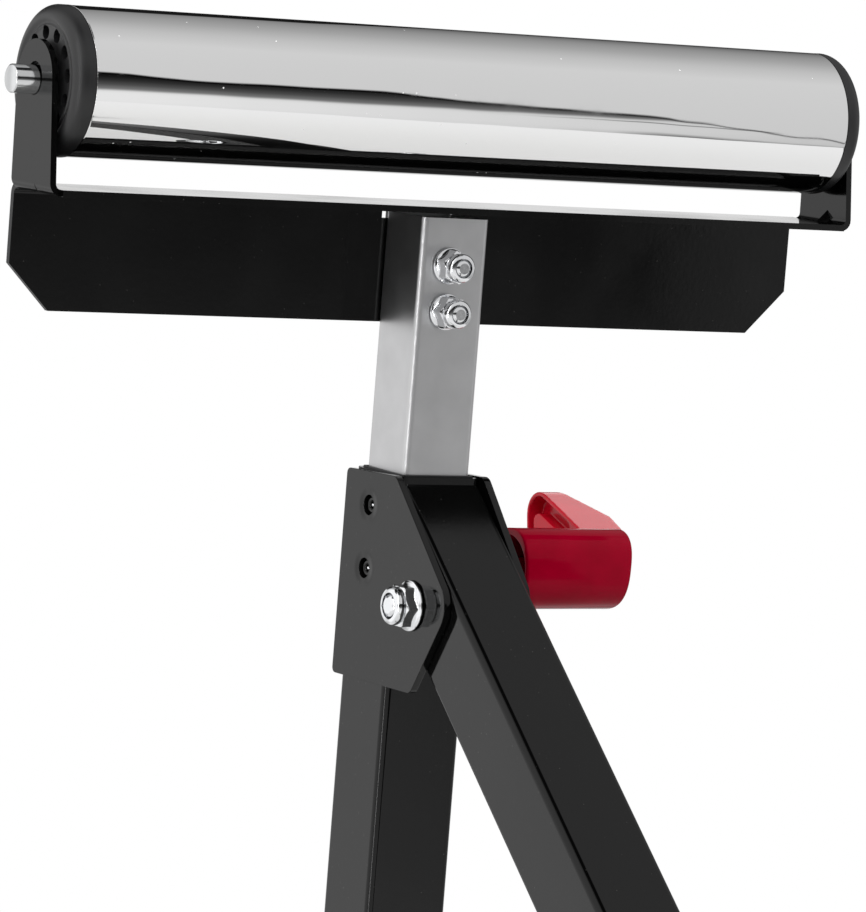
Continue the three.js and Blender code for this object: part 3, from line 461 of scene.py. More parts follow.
# %% Cold-drawn axle
drawn_steel, tree, shader, spot = start_finish("cold_drawn_steel", "#cfd0d1", 1.0, 0.14)
lines = noise(tree, stretched(tree, spot, 25, 0.7, 0.7), scale=1.0, detail=3.0)
gloss = spread(tree, lines, 0.0, 1.0, 0.06, 0.2)
feed(tree, shader, Normal=relief(tree, lines, strength=0.25, depth=0.06), Roughness=gloss)
print("axle nodes:", len(tree.nodes))


# %% [markdown]
# The clamp lever is moulded ABS in a deep signal red. The mould is finely spark-eroded, which gives a
# soft sheen instead of a mirror. The wing's red has a lighter base colour than the hub's: painted light for the
# light the wing catches.

# %% Red ABS
def make_red(name, dark, light, roughness, level):
    material, tree, shader, spot = start_finish(name, dark, 0.0, roughness, IOR=1.5, Specular_IOR_Level=level)
    grit = noise(tree, spot, per_mm(0.5), detail=2.0)
    cloud = noise(tree, spot, per_mm(12), detail=2.0)
    tone = ramp(tree, cloud, [(0.3, srgb(dark)), (0.7, srgb(light))])
    feed(tree, shader, Normal=relief(tree, grit, strength=0.12, depth=0.02), Base_Color=tone)
    return material


red_plastic = make_red("red_moulded_abs", "#86001b", "#90001f", roughness=0.1, level=0.06)
# The wing's copy of the red is painted lighter than the hub's: painted light, not a different plastic
red_painted_lit = make_red("red_abs_painted_lighter", "#b40820", "#be0a24", roughness=0.16, level=0.2)
print("red finishes:", red_plastic.name, red_painted_lit.name)


# %% [markdown]
# The end caps, the guide bush and the post's plug are black polypropylene with a satin skin. The boots
# are softer black rubber, and the clamp's pad is brass.

# %% Black plastic, rubber and brass
def make_grainy(name, colour, metallic, roughness, grain, detail, strength, depth, **sockets):
    material, tree, shader, spot = start_finish(name, colour, metallic, roughness, **sockets)
    feed(tree, shader, Normal=relief(tree, noise(tree, spot, per_mm(grain), detail), strength, depth))
    return material


black_plastic = make_grainy("black_polypropylene", "#151516", 0.0, 0.42, grain=1.1, detail=3.0,
                            strength=0.15, depth=0.05, IOR=1.49)
rubber = make_grainy("black_rubber", "#161616", 0.0, 0.68, grain=0.9, detail=4.0, strength=0.25,
                     depth=0.08, IOR=1.52)
brass = make_grainy("turned_brass", "#c9a55a", 1.0, 0.3, grain=1.5, detail=2.0, strength=0.1, depth=0.03)
FINISHES = {"black_coat": black_coat, "chrome_plate": chrome, "zinc_steel": zinc,
            "bright_steel": bright_steel, "red_plastic": red_plastic, "black_plastic": black_plastic,
            "rubber": rubber, "brass_pad": brass}
print("finishes:", len(FINISHES))


# %% [markdown]
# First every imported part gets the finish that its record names. Hidden parts, such as the bearings,
# need no more than that.

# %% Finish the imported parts
def dress(piece, finish):
    piece.data.materials.clear()
    piece.data.materials.append(finish)


slot_of = {part["node"]: part["material_slot"] for part in frame["record"]["subparts"]}
body_of = {node: body for body, nodes in frame["record"]["behaviour"]["bodies"].items() for node in nodes}
for name, part in frame["nodes"].items():
    dress(part, FINISHES[slot_of[name]])
print("finished", len(slot_of), "parts")


# %% [markdown]
# A finished piece takes over from its imported part: it rides on the same body, wears its slot's finish
# unless given another, and hides the part it stands for. A piece that is only added to the stand hides nothing.

# %% Handing a piece over
def add_on(piece, body):
    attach(piece, body)


def take_over(piece, node, finish=None):
    if finish is not None or not piece.data.materials:
        dress(piece, finish or FINISHES[slot_of[node]])
    add_on(piece, body_of[node])
    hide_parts(node)


def settle(piece):
    """Turns the result of a piece's modifiers into a plain mesh."""
    bpy.context.view_layer.update()
    result = piece.evaluated_get(bpy.context.evaluated_depsgraph_get())
    mesh = bpy.data.meshes.new_from_object(result)
    piece.modifiers.clear()
    piece.data = mesh
    return piece


def modify(piece, kind, **settings):
    modifier = piece.modifiers.new(kind.lower(), kind)
    for name, value in settings.items():
        setattr(modifier, name, value)
    return modifier


def add_bevel(piece, width, segments, sharp):
    modify(piece, "BEVEL", limit_method="ANGLE", angle_limit=math.radians(sharp), width=width * MM,
           segments=segments)


print("helpers ready")

# %% [markdown]
# Sheet and tube parts have the right shape already, but every real edge is a little round and catches
# light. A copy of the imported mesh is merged, its flat faces are joined up, and a narrow bevel runs
# along each sharp edge. Weighted normals then keep the flats flat. The hinge plates also get round
# corners, and the right one's nose is drawn in behind the leg.

# %% Softened copies
# The leg's pivot in y and z from the column's mouth: in front of it and below it
PIVOT = (-38.6, -46.1)
# Where a plate's nose begins in y, and the radius round the pivot that keeps its shape
NOSE_START, PIVOT_KEPT = -20, 8.5
# A plate's corner turns by more degrees than this, and its edge runs along x this closely
CORNER_ANGLE, CORNER_ALONG = 20, 0.99
EDGES = {"column": 0.4, "leg": 0.4, "column_foot": 0.4, "leg_foot": 0.4, "head_bracket": 0.55, "post": 0.25,
         "guide_bush": 0.2, "clamp_nut": 0.5, "column_foot_boot_left": 0.8,
         "column_foot_boot_right": 0.8, "leg_foot_boot_left": 0.8, "leg_foot_boot_right": 0.8}


def draw_in(form, nose):
    for vert in form.verts:
        _, y, z = column_frame.inverted() @ vert.co
        if y < NOSE_START and math.hypot(y - PIVOT[0], z - PIVOT[1]) > PIVOT_KEPT:
            share = min(1.0, max(0.0, z / PIVOT[1]))
            vert.co += column_frame.to_3x3() @ Vector((0, nose * share, 0))


def round_corners(form, corner):
    across = [edge for edge in form.edges if edge.is_convex
              and edge.calc_face_angle(0) > math.radians(CORNER_ANGLE)
              and abs((edge.verts[0].co - edge.verts[1].co).normalized().x) > CORNER_ALONG]
    bmesh.ops.bevel(form, geom=across, offset=corner * MM, segments=4, profile=0.5,
                    affect="EDGES", clamp_overlap=True)


def softened(node, width, finish=None, corner=0.0, nose=0.0):
    form = bmesh.new()
    form.from_mesh(frame["nodes"][node].data)
    bmesh.ops.remove_doubles(form, verts=form.verts, dist=0.002 * MM)
    bmesh.ops.dissolve_limit(form, angle_limit=math.radians(0.3), verts=form.verts, edges=form.edges)
    if nose:
        draw_in(form, nose)
    if corner:
        round_corners(form, corner)
    mesh = bpy.data.meshes.new(node + "_soft")
    form.to_mesh(mesh)
    form.free()
    mesh.shade_smooth()
    piece = new_object(node + "_soft", mesh)
    add_bevel(piece, width, segments=2, sharp=38)
    modify(piece, "WEIGHTED_NORMAL", weight=80)
    take_over(settle(piece), node, finish=finish)


for node, width in EDGES.items():
    softened(node, width)
softened("hinge_plate_left", 0.8, finish=plate_coat, corner=2.2)
softened("hinge_plate_right", 0.8, corner=2.2, nose=7.0)
print("softened", len(EDGES) + 2, "parts")


# %% [markdown]
# Round parts are turned from a profile, as on a lathe. The profile lists radius and distance along
# the axis in millimetres, and a matrix stands the result in its place.

# %% Turning
def shade(mesh, sharp):
    mesh.shade_smooth()
    mesh.set_sharp_from_angle(angle=math.radians(sharp))


def solid_piece(name, points, faces, sharp):
    mesh = bpy.data.meshes.new(name)
    mesh.from_pydata(points, [], faces)
    form = bmesh.new()
    form.from_mesh(mesh)
    bmesh.ops.remove_doubles(form, verts=form.verts, dist=0.001 * MM)
    bmesh.ops.recalc_face_normals(form, faces=form.faces)
    form.to_mesh(mesh)
    form.free()
    shade(mesh, sharp)
    return new_object(name, mesh)


def turned(name, profile, place, segments=96, closed=True):
    count = len(profile)
    points = []
    faces = []
    for a in round_angles(segments):
        points += [place @ Vector((x, r * math.cos(a), r * math.sin(a))) for r, x in profile]
    for i in range(segments):
        j = (i + 1) % segments
        for k in range(count if closed else count - 1):
            n = (k + 1) % count
            faces.append((i * count + k, i * count + n, j * count + n, j * count + k))
    return solid_piece(name, points, faces, sharp=32)


def arc(radius, x, size, start, end, steps):
    angles = [math.radians(start + (end - start) * i / steps) for i in range(steps + 1)]
    return [(radius + size * math.cos(a), x + size * math.sin(a)) for a in angles]


def mirrored(profile, side):
    return [(r, side * x) for r, x in profile]


TUBE_END, TUBE_RADIUS, TUBE_BORE, TUBE_EDGE = 169.4, 28.67, 27.2, 0.12
# The last ring of points keeps the shading of the rounded end
TUBE_RINGS = (50, 100, 150, TUBE_END - 0.5)
tube_half = [(TUBE_RADIUS, x) for x in TUBE_RINGS]
tube_half += arc(TUBE_RADIUS - TUBE_EDGE, TUBE_END - TUBE_EDGE, TUBE_EDGE, 0, 90, 3) + [(TUBE_BORE, TUBE_END)]
tube_profile = mirrored(tube_half, -1)[::-1] + [(TUBE_RADIUS, 0)] + tube_half
take_over(turned("roller_skin", tube_profile, roller_frame, segments=160), "roller_tube")
AXLE_END, AXLE_RADIUS, AXLE_EDGE = 191.3, 5.5, 0.8
axle_half = arc(AXLE_RADIUS - AXLE_EDGE, AXLE_END - AXLE_EDGE, AXLE_EDGE, 0, 90, 4) + [(0, AXLE_END)]
axle_profile = mirrored(axle_half, -1)[::-1] + axle_half
axle_bar = turned("axle_bar", axle_profile, roller_frame, segments=64, closed=False)
take_over(axle_bar, "axle", finish=drawn_steel)
print("roller and axle turned")

# %% [markdown]
# The rivets in the plates are the hollow kind that is pulled tight from outside. A black ring sits in each
# hole, and the end of the pulled stem shines in its middle.

# %% Rivets
# Node, side of the column, and drop below its mouth
RIVETS = [("plate_rivet_left_upper", -1, RIVET_DROPS[0]), ("plate_rivet_left_lower", -1, RIVET_DROPS[1]),
          ("plate_rivet_right", 1, RIVET_DROPS[0])]
RING_RADIUS, RING_ROUND = 2.45, 1.2
SHANK_RADIUS, SHANK_START = 2.5, 16.5
HEAD_START, HEAD_ROUND = 18.35, 18.9
STEM_RADIUS, STEM_START, STEM_SUNK = 0.8, 18.7, 0.3
rivet = [(0, SHANK_START), (SHANK_RADIUS, SHANK_START), (SHANK_RADIUS, HEAD_START)]
rivet += [(RING_RADIUS + RING_ROUND, HEAD_START)] + arc(RING_RADIUS, HEAD_ROUND, RING_ROUND, 0, 180, 12)
rivet += [(RING_RADIUS - RING_ROUND, STEM_START), (0, STEM_START)]
stem = [(0, STEM_START - STEM_SUNK), (STEM_RADIUS, STEM_START - STEM_SUNK)]
stem += arc(0, HEAD_ROUND, STEM_RADIUS, 0, 90, 6)
for node, side, drop in RIVETS:
    place = column_frame @ Matrix.Translation((0, 0, -drop))
    take_over(turned(node + "_pulled", mirrored(rivet, side), place, segments=48, closed=False), node)
    pin = turned(node + "_stem", mirrored(stem, side), place, segments=32, closed=False)
    dress(pin, bright_steel)
    add_on(pin, body_of[node])
print("rivets pulled:", len(RIVETS))

# %% [markdown]
# Each end cap is a moulded ring of plastic pressed into the tube, with a ring of small holes in its
# face. The body is turned; the holes repeat, so a node tree sets a cylinder on each point of a
# circle and cuts them all out at once.

# %% The caps' profile
CAP_TOP, CAP_FACE, CAP_BACK = 177.4, 176.5, 173.1
CAP_EDGE, CAP_SKIRT, CAP_WALL_IN, CAP_WALL_OUT, CAP_SHOULDER = 5, 155.4, 24.3, 26.9, 169.7
FACE_START, FACE_STEP, FACE_STEPS, FACE_DISH, FACE_SLOPE, FACE_FLAT = 23.7, 0.2, 24, 0.45, 2.4, 18.6
RIDGE_RADIUS, RIDGE_WIDTH, RIDGE_HEIGHT = 20.6, 0.6, 0.42
CAP_BORE, CAP_BORE_EDGE, SOCKET_IN, SOCKET_OUT, SOCKET_END = 7.5, 0.4, 14.3, 16.9, 164.8
cap_profile = [(CAP_WALL_IN, CAP_SKIRT), (CAP_WALL_OUT, CAP_SKIRT), (CAP_WALL_OUT, CAP_SHOULDER)]
cap_profile += [(TUBE_RADIUS, CAP_SHOULDER)]
cap_profile += arc(TUBE_RADIUS - CAP_EDGE, CAP_TOP - CAP_EDGE, CAP_EDGE, 0, 90, 14)
# Distance along the axis falls and rises in soft waves from the rim to the flat face
for i in range(1, FACE_STEPS + 1):
    r = FACE_START - FACE_STEP * i
    wave = FACE_DISH + FACE_DISH * math.cos(math.pi * min(1.0, (FACE_START - r) / FACE_SLOPE))
    ridge = RIDGE_HEIGHT * math.exp(-((r - RIDGE_RADIUS) / RIDGE_WIDTH) ** 2)
    cap_profile.append((r, CAP_FACE + wave + ridge))
cap_profile += [(FACE_FLAT, CAP_FACE), (CAP_BORE + CAP_BORE_EDGE, CAP_FACE)]
cap_profile += [(CAP_BORE, CAP_FACE - CAP_BORE_EDGE), (CAP_BORE, CAP_BACK), (SOCKET_IN, CAP_BACK)]
cap_profile += [(SOCKET_IN, SOCKET_END), (SOCKET_OUT, SOCKET_END)]
cap_profile += [(SOCKET_OUT, CAP_BACK), (CAP_WALL_IN, CAP_BACK)]
print("cap profile has", len(cap_profile), "points")


# %% Hole tree
def new_tree(name, **kinds):
    """A tree with geometry at both ends, an input for each kind named and one for the material."""
    tree = bpy.data.node_groups.new(name, "GeometryNodeTree")
    for label, kind in {"Geometry": "Geometry", **kinds, "Material": "Material"}.items():
        tree.interface.new_socket(label.replace("_", " "), in_out="INPUT", socket_type="NodeSocket" + kind)
    tree.interface.new_socket("Geometry", in_out="OUTPUT", socket_type="NodeSocketGeometry")
    return tree, add_node(tree, "NodeGroupInput").outputs


def build(tree, kind, settings=None, **inputs):
    """The first output of a geometry node, with a space for each underscore in its inputs' names."""
    inputs = {name.replace("_", " "): value for name, value in inputs.items()}
    return add_node(tree, "GeometryNode" + kind, inputs, **(settings or {})).outputs[0]


def end_tree(tree, given, geometry):
    dressed = build(tree, "SetMaterial", Geometry=geometry, Material=given["Material"])
    add_node(tree, "NodeGroupOutput", {"Geometry": dressed})


def set_inputs(piece, tree, values):
    modifier = modify(piece, "NODES", node_group=tree)
    for item in tree.interface.items_tree:
        if item.in_out == "INPUT" and item.name in values:
            modifier[item.identifier] = values[item.name]


holes, given = new_tree("ring_of_holes", Count="Int", Ring_Radius="Float", Hole_Radius="Float", Depth="Float",
                        Centre="Vector", Tilt="Vector")
circle = build(holes, "MeshCircle", Vertices=given["Count"], Radius=given["Ring Radius"])
drill = build(holes, "MeshCylinder", Vertices=20, Radius=given["Hole Radius"], Depth=given["Depth"])
drills = build(holes, "InstanceOnPoints", Points=circle, Instance=drill)
stood = build(holes, "Transform", Geometry=drills, Translation=given["Centre"], Rotation=given["Tilt"])
solid = build(holes, "RealizeInstances", Geometry=stood)
cut = build(holes, "MeshBoolean", {"operation": "DIFFERENCE", "solver": "EXACT"},
            Mesh_1=given["Geometry"], Mesh_2=solid)
end_tree(holes, given, build(holes, "RealizeInstances", Geometry=cut))
print("hole tree has", len(holes.nodes), "nodes")

# %% Drill and fit the caps
HOLES, HOLE_CIRCLE, HOLE_RADIUS, HOLE_DEPTH, HOLE_SUNK = 12, 18, 2.7, 8, 1
for side, end in (("right", 1), ("left", -1)):
    cap = turned("end_cap_" + side + "_moulded", mirrored(cap_profile, end), roller_frame)
    face_centre = roller_frame @ Vector((end * (CAP_FACE - HOLE_SUNK), 0, 0))
    set_inputs(cap, holes, {
        "Count": HOLES, "Ring Radius": HOLE_CIRCLE * MM, "Hole Radius": HOLE_RADIUS * MM,
        "Depth": HOLE_DEPTH * MM, "Centre": face_centre, "Tilt": (0, math.pi / 2, 0),
        "Material": black_plastic})
    settle(cap)
    shade(cap.data, sharp=32)
    take_over(cap, "end_cap_" + side)
print("caps drilled")


# %% [markdown]
# A flange lock nut is a hexagon that grows out of a round flange and ends in a rolled collar. Seen
# along its axis it has one radius in every direction at every height, so it can be drawn as rings
# whose radius is the largest of flange, hexagon and collar.

# %% Rings and levels
# Drop of a bore's rim below the end of its piece
BORE_RIM = 0.15


def hexagon_radius(across, angle, rounding=0.985):
    fold = (angle % (math.pi / 3)) - math.pi / 6
    return min(across / 2 / math.cos(fold), across / math.sqrt(3) * rounding)


def ringed(name, levels, radius, place, segments=96, inner=None):
    """A solid of rings: radius tells their size, and inner is the depth and radius of a bore."""
    angles = round_angles(segments)
    rings = [(x, [radius(x, a) for a in angles]) for x in levels]
    if inner is not None:
        depth, bore = inner
        rings += [(x, [bore] * segments) for x in (levels[-1] - BORE_RIM, depth)]
    points = [place @ Vector((x, r * math.cos(a), r * math.sin(a)))
              for x, sizes in rings for r, a in zip(sizes, angles)]
    faces = [list(range(segments)), list(range(len(points) - segments, len(points)))]
    for low in range(0, len(points) - segments, segments):
        for i in range(segments):
            j = (i + 1) % segments
            faces.append((low + i, low + j, low + segments + j, low + segments + i))
    return solid_piece(name, points, faces, sharp=28)


def smooth_levels(marks, step):
    levels = []
    for start, end in zip(marks, marks[1:]):
        count = max(1, round((end - start) / step))
        levels += [start + (end - start) * i / count for i in range(count)]
    return levels + [marks[-1]]


print("a 10 mm hexagon is", round(2 * hexagon_radius(10, 0), 2), "mm over its corners")


# %% Nuts
COLLAR_STEP, WAIST_HEIGHT, WAIST_DEPTH = 0.15, 0.7, 0.5
EDGE_ROUND, SKIRT_CURVE, CONE_SLOPE = 0.5, 0.6, 1.6
# For each millimetre of the collar's lip
ROLL_HEIGHT, ROLL_DEPTH = 1.6, 1.9
# Where the bore ends, as a share of the height, and its gap round the bolt
NUT_BORE_END, NUT_BORE_GAP = 0.4, 0.45
CORNER_BREAK, LEVEL_STEP = 0.05, 0.15


def lock_nut(node, size, place, twist):
    flange, edge, skirt, hex_top, height, lip, across, bolt_radius = size
    collar_radius = across / 2 - COLLAR_STEP
    waist_end = hex_top + WAIST_HEIGHT
    roll = ROLL_HEIGHT * lip

    def radius(x, angle):
        if x <= edge:
            side = (2 * x / edge - 1) ** 2
            return flange / 2 - EDGE_ROUND * (1 - math.sqrt(max(0.0, 1 - side)))
        slope = prism = 0
        if x < skirt:
            slope = flange / 2 + (across / 2 - flange / 2) * ((x - edge) / (skirt - edge)) ** SKIRT_CURVE
        if x <= hex_top:
            prism = min(hexagon_radius(across, angle + twist), across / 2 + (hex_top - x) * CONE_SLOPE)
        bend = max(0.0, (x - (height - roll)) / roll)
        ring = collar_radius - ROLL_DEPTH * lip * (1 - math.sqrt(max(0.0, 1 - bend * bend)))
        if hex_top < x < waist_end:
            ring = collar_radius - WAIST_DEPTH * (waist_end - x) / WAIST_HEIGHT
        return max(slope, prism, ring)

    marks = (0, edge, skirt, hex_top, hex_top + CORNER_BREAK, waist_end, height - roll, height)
    bore = (height * NUT_BORE_END, bolt_radius + NUT_BORE_GAP)
    nut = ringed(node + "_rolled", smooth_levels(marks, LEVEL_STEP), radius, place, inner=bore)
    take_over(nut, node)


HEAD_FLATS, PIVOT_FLATS = 11.6, 15.4
HEAD_BOLT_RADIUS, PIVOT_BOLT_RADIUS = 3.7, 4.6
# Flange across, its edge, its skirt's end, hexagon's top, height, collar's lip, across flats, bolt's radius
HEAD_NUT = (14.4, 1.4, 2.6, 7.6, 11.8, 1.0, HEAD_FLATS, HEAD_BOLT_RADIUS)
PIVOT_NUT = (19.9, 1.2, 2.4, 6.4, 10.0, 1.2, PIVOT_FLATS, PIVOT_BOLT_RADIUS)
# Heights above the column's mouth, then places beside and before its middle line
HEAD_BOLT_HEIGHTS = {"upper": 84.4, "lower": 66.4}
HEAD_BOLT_SIDE, HEAD_NUT_SEAT, PIVOT_SEAT = -2.5, -15.3, 21.6
nut_places = {}
for level, twist in (("upper", 0.35), ("lower", 0.05)):
    middle = Vector((HEAD_BOLT_SIDE, HEAD_NUT_SEAT, HEAD_BOLT_HEIGHTS[level]))
    seat = Matrix.Translation(middle) @ Matrix.Rotation(-math.pi / 2, 4, "Z")
    nut_places[level] = column_frame @ seat
    lock_nut("head_nut_" + level, HEAD_NUT, nut_places[level], twist)
pivot_seat = column_frame @ Matrix.Translation((-PIVOT_SEAT, *PIVOT))
nut_places["hinge"] = pivot_seat @ Matrix.Rotation(math.pi, 4, "Z")
lock_nut("hinge_nut", PIVOT_NUT, nut_places["hinge"], 0.02)
print("nuts:", sorted(nut_places))


# %% [markdown]
# The bolts pass through their nuts and end in a low dome. Their threads wind round the shank, so a
# node tree sweeps a small tooth along a spiral; it serves the bolts and the clamp screw alike.

# %% Bolts
TIP, TIP_STEPS, THREADED, CHAMFER, CHAMFER_SLOPE = 1.1, 8, 9.0, 0.6, 1.4
# How far the shank and the thread's root lie below the bolt's radius, and the dome at its end
SHANK_STEP, ROOT_STEP, DOME, DOME_CURVE = 1.0, 0.25, 1.3, 1.6
# Lengths over which the radius steps, at the thread's end and on each side of the seat
THREAD_STEP, SEAT_STEP = 0.01, 0.001


def bolt_piece(node, across, head, reach, radius, place, twist):
    corner = across / math.sqrt(3)
    thread_end = THREADED - reach

    def outline(x, angle):
        if x > 0:
            cut = max(0.0, x - head + CHAMFER) * CHAMFER_SLOPE
            return min(hexagon_radius(across, angle + twist), corner - cut)
        if x > thread_end:
            return radius - SHANK_STEP
        rounding = max(0.0, 1 - (x + reach) / TIP)
        return radius - ROOT_STEP - DOME * rounding ** DOME_CURVE

    levels = [-reach + TIP * i / TIP_STEPS for i in range(TIP_STEPS + 1)]
    levels += [thread_end, thread_end + THREAD_STEP, -SEAT_STEP, SEAT_STEP]
    levels += [head - CHAMFER, head - CHAMFER / 2, head]
    take_over(ringed(node + "_turned", levels, outline, place, segments=72), node)


HEAD_BOLT_SEAT = 18.1
for level, height in HEAD_BOLT_HEIGHTS.items():
    seat = Matrix.Translation((HEAD_BOLT_SIDE, HEAD_BOLT_SEAT, height)) @ Matrix.Rotation(math.pi / 2, 4, "Z")
    bolt_piece("head_bolt_" + level, HEAD_FLATS, head=4.4, reach=45.5, radius=HEAD_BOLT_RADIUS,
               place=column_frame @ seat, twist=0.2)
pivot_seat = column_frame @ Matrix.Translation((PIVOT_SEAT, *PIVOT))
bolt_piece("hinge_bolt", PIVOT_FLATS, head=5.6, reach=53.6, radius=PIVOT_BOLT_RADIUS,
           place=pivot_seat, twist=0.4)
print("bolts turned")

# %% Threads
thread, given = new_tree("screw_thread", Radius="Float", Pitch="Float", Length="Float", Tooth="Float")
turns = compute(thread, "DIVIDE", given["Length"], given["Pitch"])
spiral = build(thread, "CurveSpiral", Resolution=40, Rotations=turns, Height=given["Length"],
               Start_Radius=given["Radius"], End_Radius=given["Radius"])
tooth = build(thread, "CurvePrimitiveCircle", Resolution=4, Radius=given["Tooth"])
ridge = build(thread, "CurveToMesh", Curve=spiral, Profile_Curve=tooth, Fill_Caps=True)
end_tree(thread, given, build(thread, "RealizeInstances", Geometry=ridge))
along_x = Matrix.Rotation(math.pi / 2, 4, "Y")
TOOTH_SHARE = 0.28


def cut_thread(name, body, radius, pitch, length, place, start):
    piece = new_object(name, bpy.data.meshes.new(name))
    tooth_size = TOOTH_SHARE * pitch
    set_inputs(piece, thread, {
        "Radius": radius - tooth_size, "Pitch": pitch, "Length": length, "Tooth": tooth_size,
        "Material": bright_steel})
    settle(piece)
    piece.data.transform(place @ Matrix.Translation((start, 0, 0)) @ along_x)
    add_on(piece, body)


for level in HEAD_BOLT_HEIGHTS:
    cut_thread("thread_head_" + level, "head", HEAD_BOLT_RADIUS, pitch=1.0, length=3.0,
               place=nut_places[level], start=8.0)
cut_thread("thread_hinge", "column", PIVOT_BOLT_RADIUS, pitch=1.25, length=3.4,
           place=nut_places["hinge"], start=5.4)
cut_thread("thread_clamp", "lever", radius=5.0, pitch=1.5, length=26.0, place=clamp_frame, start=19.5)
print("threads cut")

# %% [markdown]
# The lever is a moulding: a hub, and a wing that leans back from it and slopes down to its end. The
# wing's section is the outline round four circles, drawn about the clamp's axis. Planes trim the slope
# and the end. The hollow in the wing's face is the tight skin round two smaller outlines, and a boss
# stands in it.

# %% The lever's plain forms
lever_frame = Matrix.Translation(clamp_point) @ Matrix.Scale(MM, 4)
LEVER_START, LEVER_END, WING_START, HOLLOW_FLOOR, BOSS_START = 44.6, 95.6, 76.0, 82.0, 77.0
HUB_RADIUS, HUB_BORE, CORE_START, SQUARENESS = 16.3, 13.4, 68.6, 2.6
SCREW_HOLE, SCREW_END = 5.3, 83.9
# Length beyond the end that the planes trim off
HUB_SPARE, WING_SPARE = 3, 5
# Each circle's middle, back and up from the clamp's axis, and its radius
WING_ROUNDS = [((-2, 11), 5.3), ((8, 0), 8.0), ((26.9, 22.4), 9.0), ((27.8, 13.0), 8.0)]
HOLLOW_MOUTH = [((5.4, 16.8), 2.4), ((10, 2), 4.0), ((26.9, 22.4), 7.4), ((27.8, 13.0), 6.4)]
HOLLOW_BASE = [((7.4, 15.8), 2.4), ((10, 2), 4.0), ((26.9, 22.0), 6.2), ((27.8, 13.0), 5.4)]
BOSS_ROUNDS = [((28.6, 19.0), 3.7), ((28.6, 8.0), 3.7), ((12, 12), 2.3), ((12, 4), 2.3)]
# The trimming planes: a point on each, and the way it faces
SLOPE = (Vector((86.8, 30.8, 21.2)), Vector((0.885, 0.382, 0.264)))
END_FACING = Vector((0.993, 0, -0.119))
# How far the wing ends past the hub, and the height at which both ends are measured
WING_PAST, END_HEIGHT = 1.3, 16
HUB_END = (Vector((LEVER_END, 0, END_HEIGHT)), END_FACING)
WING_END = (Vector((LEVER_END + WING_PAST, 0, END_HEIGHT)), END_FACING)
# How far the hollow opens before the wing's face, and the boss is rooted in its floor
HOLLOW_OPEN, BOSS_ROOT = 0.1, 1
SKIN_POINTS = 48


def trim(form, point, normal):
    bmesh.ops.bisect_plane(form, geom=form.verts[:] + form.edges[:] + form.faces[:], dist=1e-7,
                           plane_co=lever_frame @ point, plane_no=normal, clear_outer=True)
    bmesh.ops.holes_fill(form, edges=[edge for edge in form.edges if edge.is_boundary])


def skin_piece(name, *sections):
    """The tight skin round outlines, each a distance along the clamp's axis and its circles, trimmed."""
    form = bmesh.new()
    for x, rounds in sections:
        for (y, z), r in rounds:
            for a in round_angles(SKIN_POINTS):
                form.verts.new(lever_frame @ Vector((x, y + r * math.cos(a), z + r * math.sin(a))))
    skin = bmesh.ops.convex_hull(form, input=form.verts[:])
    inside = skin["geom_interior"] + skin["geom_unused"]
    loose = {item for item in inside if isinstance(item, bmesh.types.BMVert)}
    bmesh.ops.delete(form, geom=list(loose), context="VERTS")
    trim(form, *SLOPE)
    trim(form, *WING_END)
    bmesh.ops.recalc_face_normals(form, faces=form.faces)
    mesh = bpy.data.meshes.new(name)
    form.to_mesh(mesh)
    form.free()
    return new_object(name, mesh)


wing = skin_piece("lever_wing_moulded", (WING_START, WING_ROUNDS), (LEVER_END + WING_SPARE, WING_ROUNDS))
hollow = skin_piece("hollow", (WING_START - HOLLOW_OPEN, HOLLOW_MOUTH), (HOLLOW_FLOOR, HOLLOW_BASE))
boss = skin_piece("boss", (BOSS_START, BOSS_ROUNDS), (HOLLOW_FLOOR + BOSS_ROOT, BOSS_ROUNDS))
print("wing, hollow and boss faces:", [len(piece.data.polygons) for piece in (wing, hollow, boss)])

# %% [markdown]
# The hub is turned, pressed a little square, cut off at a slant and bevelled. Booleans sink the hollow
# into the wing and add the boss. A fine voxel remesh, smoothed a little, then rounds all the wing's edges
# together as the mould does.

# %% Lever
HUB_OUTSIDE = HUB_BORE + 1
hub_profile = [(0, LEVER_END + HUB_SPARE), (HUB_RADIUS, LEVER_END + HUB_SPARE), (HUB_RADIUS, LEVER_START)]
hub_profile += [(HUB_BORE, LEVER_START), (HUB_BORE, CORE_START), (SCREW_HOLE, CORE_START)]
hub_profile += [(SCREW_HOLE, SCREW_END), (0, SCREW_END)]
lever = turned("clamp_lever_moulded", hub_profile, lever_frame, closed=False)
form = bmesh.new()
form.from_mesh(lever.data)
for vert in form.verts:
    x, y, z = lever_frame.inverted() @ vert.co
    if math.hypot(y, z) > HUB_OUTSIDE:
        power = (abs(y) ** SQUARENESS + abs(z) ** SQUARENESS) ** (1 / SQUARENESS)
        vert.co = lever_frame @ Vector((x, y * HUB_RADIUS / power, z * HUB_RADIUS / power))
trim(form, *HUB_END)
bmesh.ops.recalc_face_normals(form, faces=form.faces)
form.to_mesh(lever.data)
form.free()
add_bevel(lever, width=0.9, segments=5, sharp=40)
settle(lever)
shade(lever.data, sharp=40)
take_over(lever, "clamp_lever")
for other, operation in ((hollow, "DIFFERENCE"), (boss, "UNION")):
    modify(wing, "BOOLEAN", operation=operation, object=other, solver="EXACT")
modify(wing, "REMESH", mode="VOXEL", voxel_size=0.35 * MM)
modify(wing, "SMOOTH", factor=0.5, iterations=12)
settle(wing)
bpy.data.objects.remove(hollow)
bpy.data.objects.remove(boss)
wing.data.shade_smooth()
# The wing wears the red that is painted lighter for the light it catches
dress(wing, red_painted_lit)
add_on(wing, "lever")
print("lever faces:", len(lever.data.polygons), len(wing.data.polygons))

# %% [markdown]
# A small lamp high behind the stand gives the lever its pale sheen along the wing. It is linked to the
# wing alone, so that neither the hub nor the roller shows it.

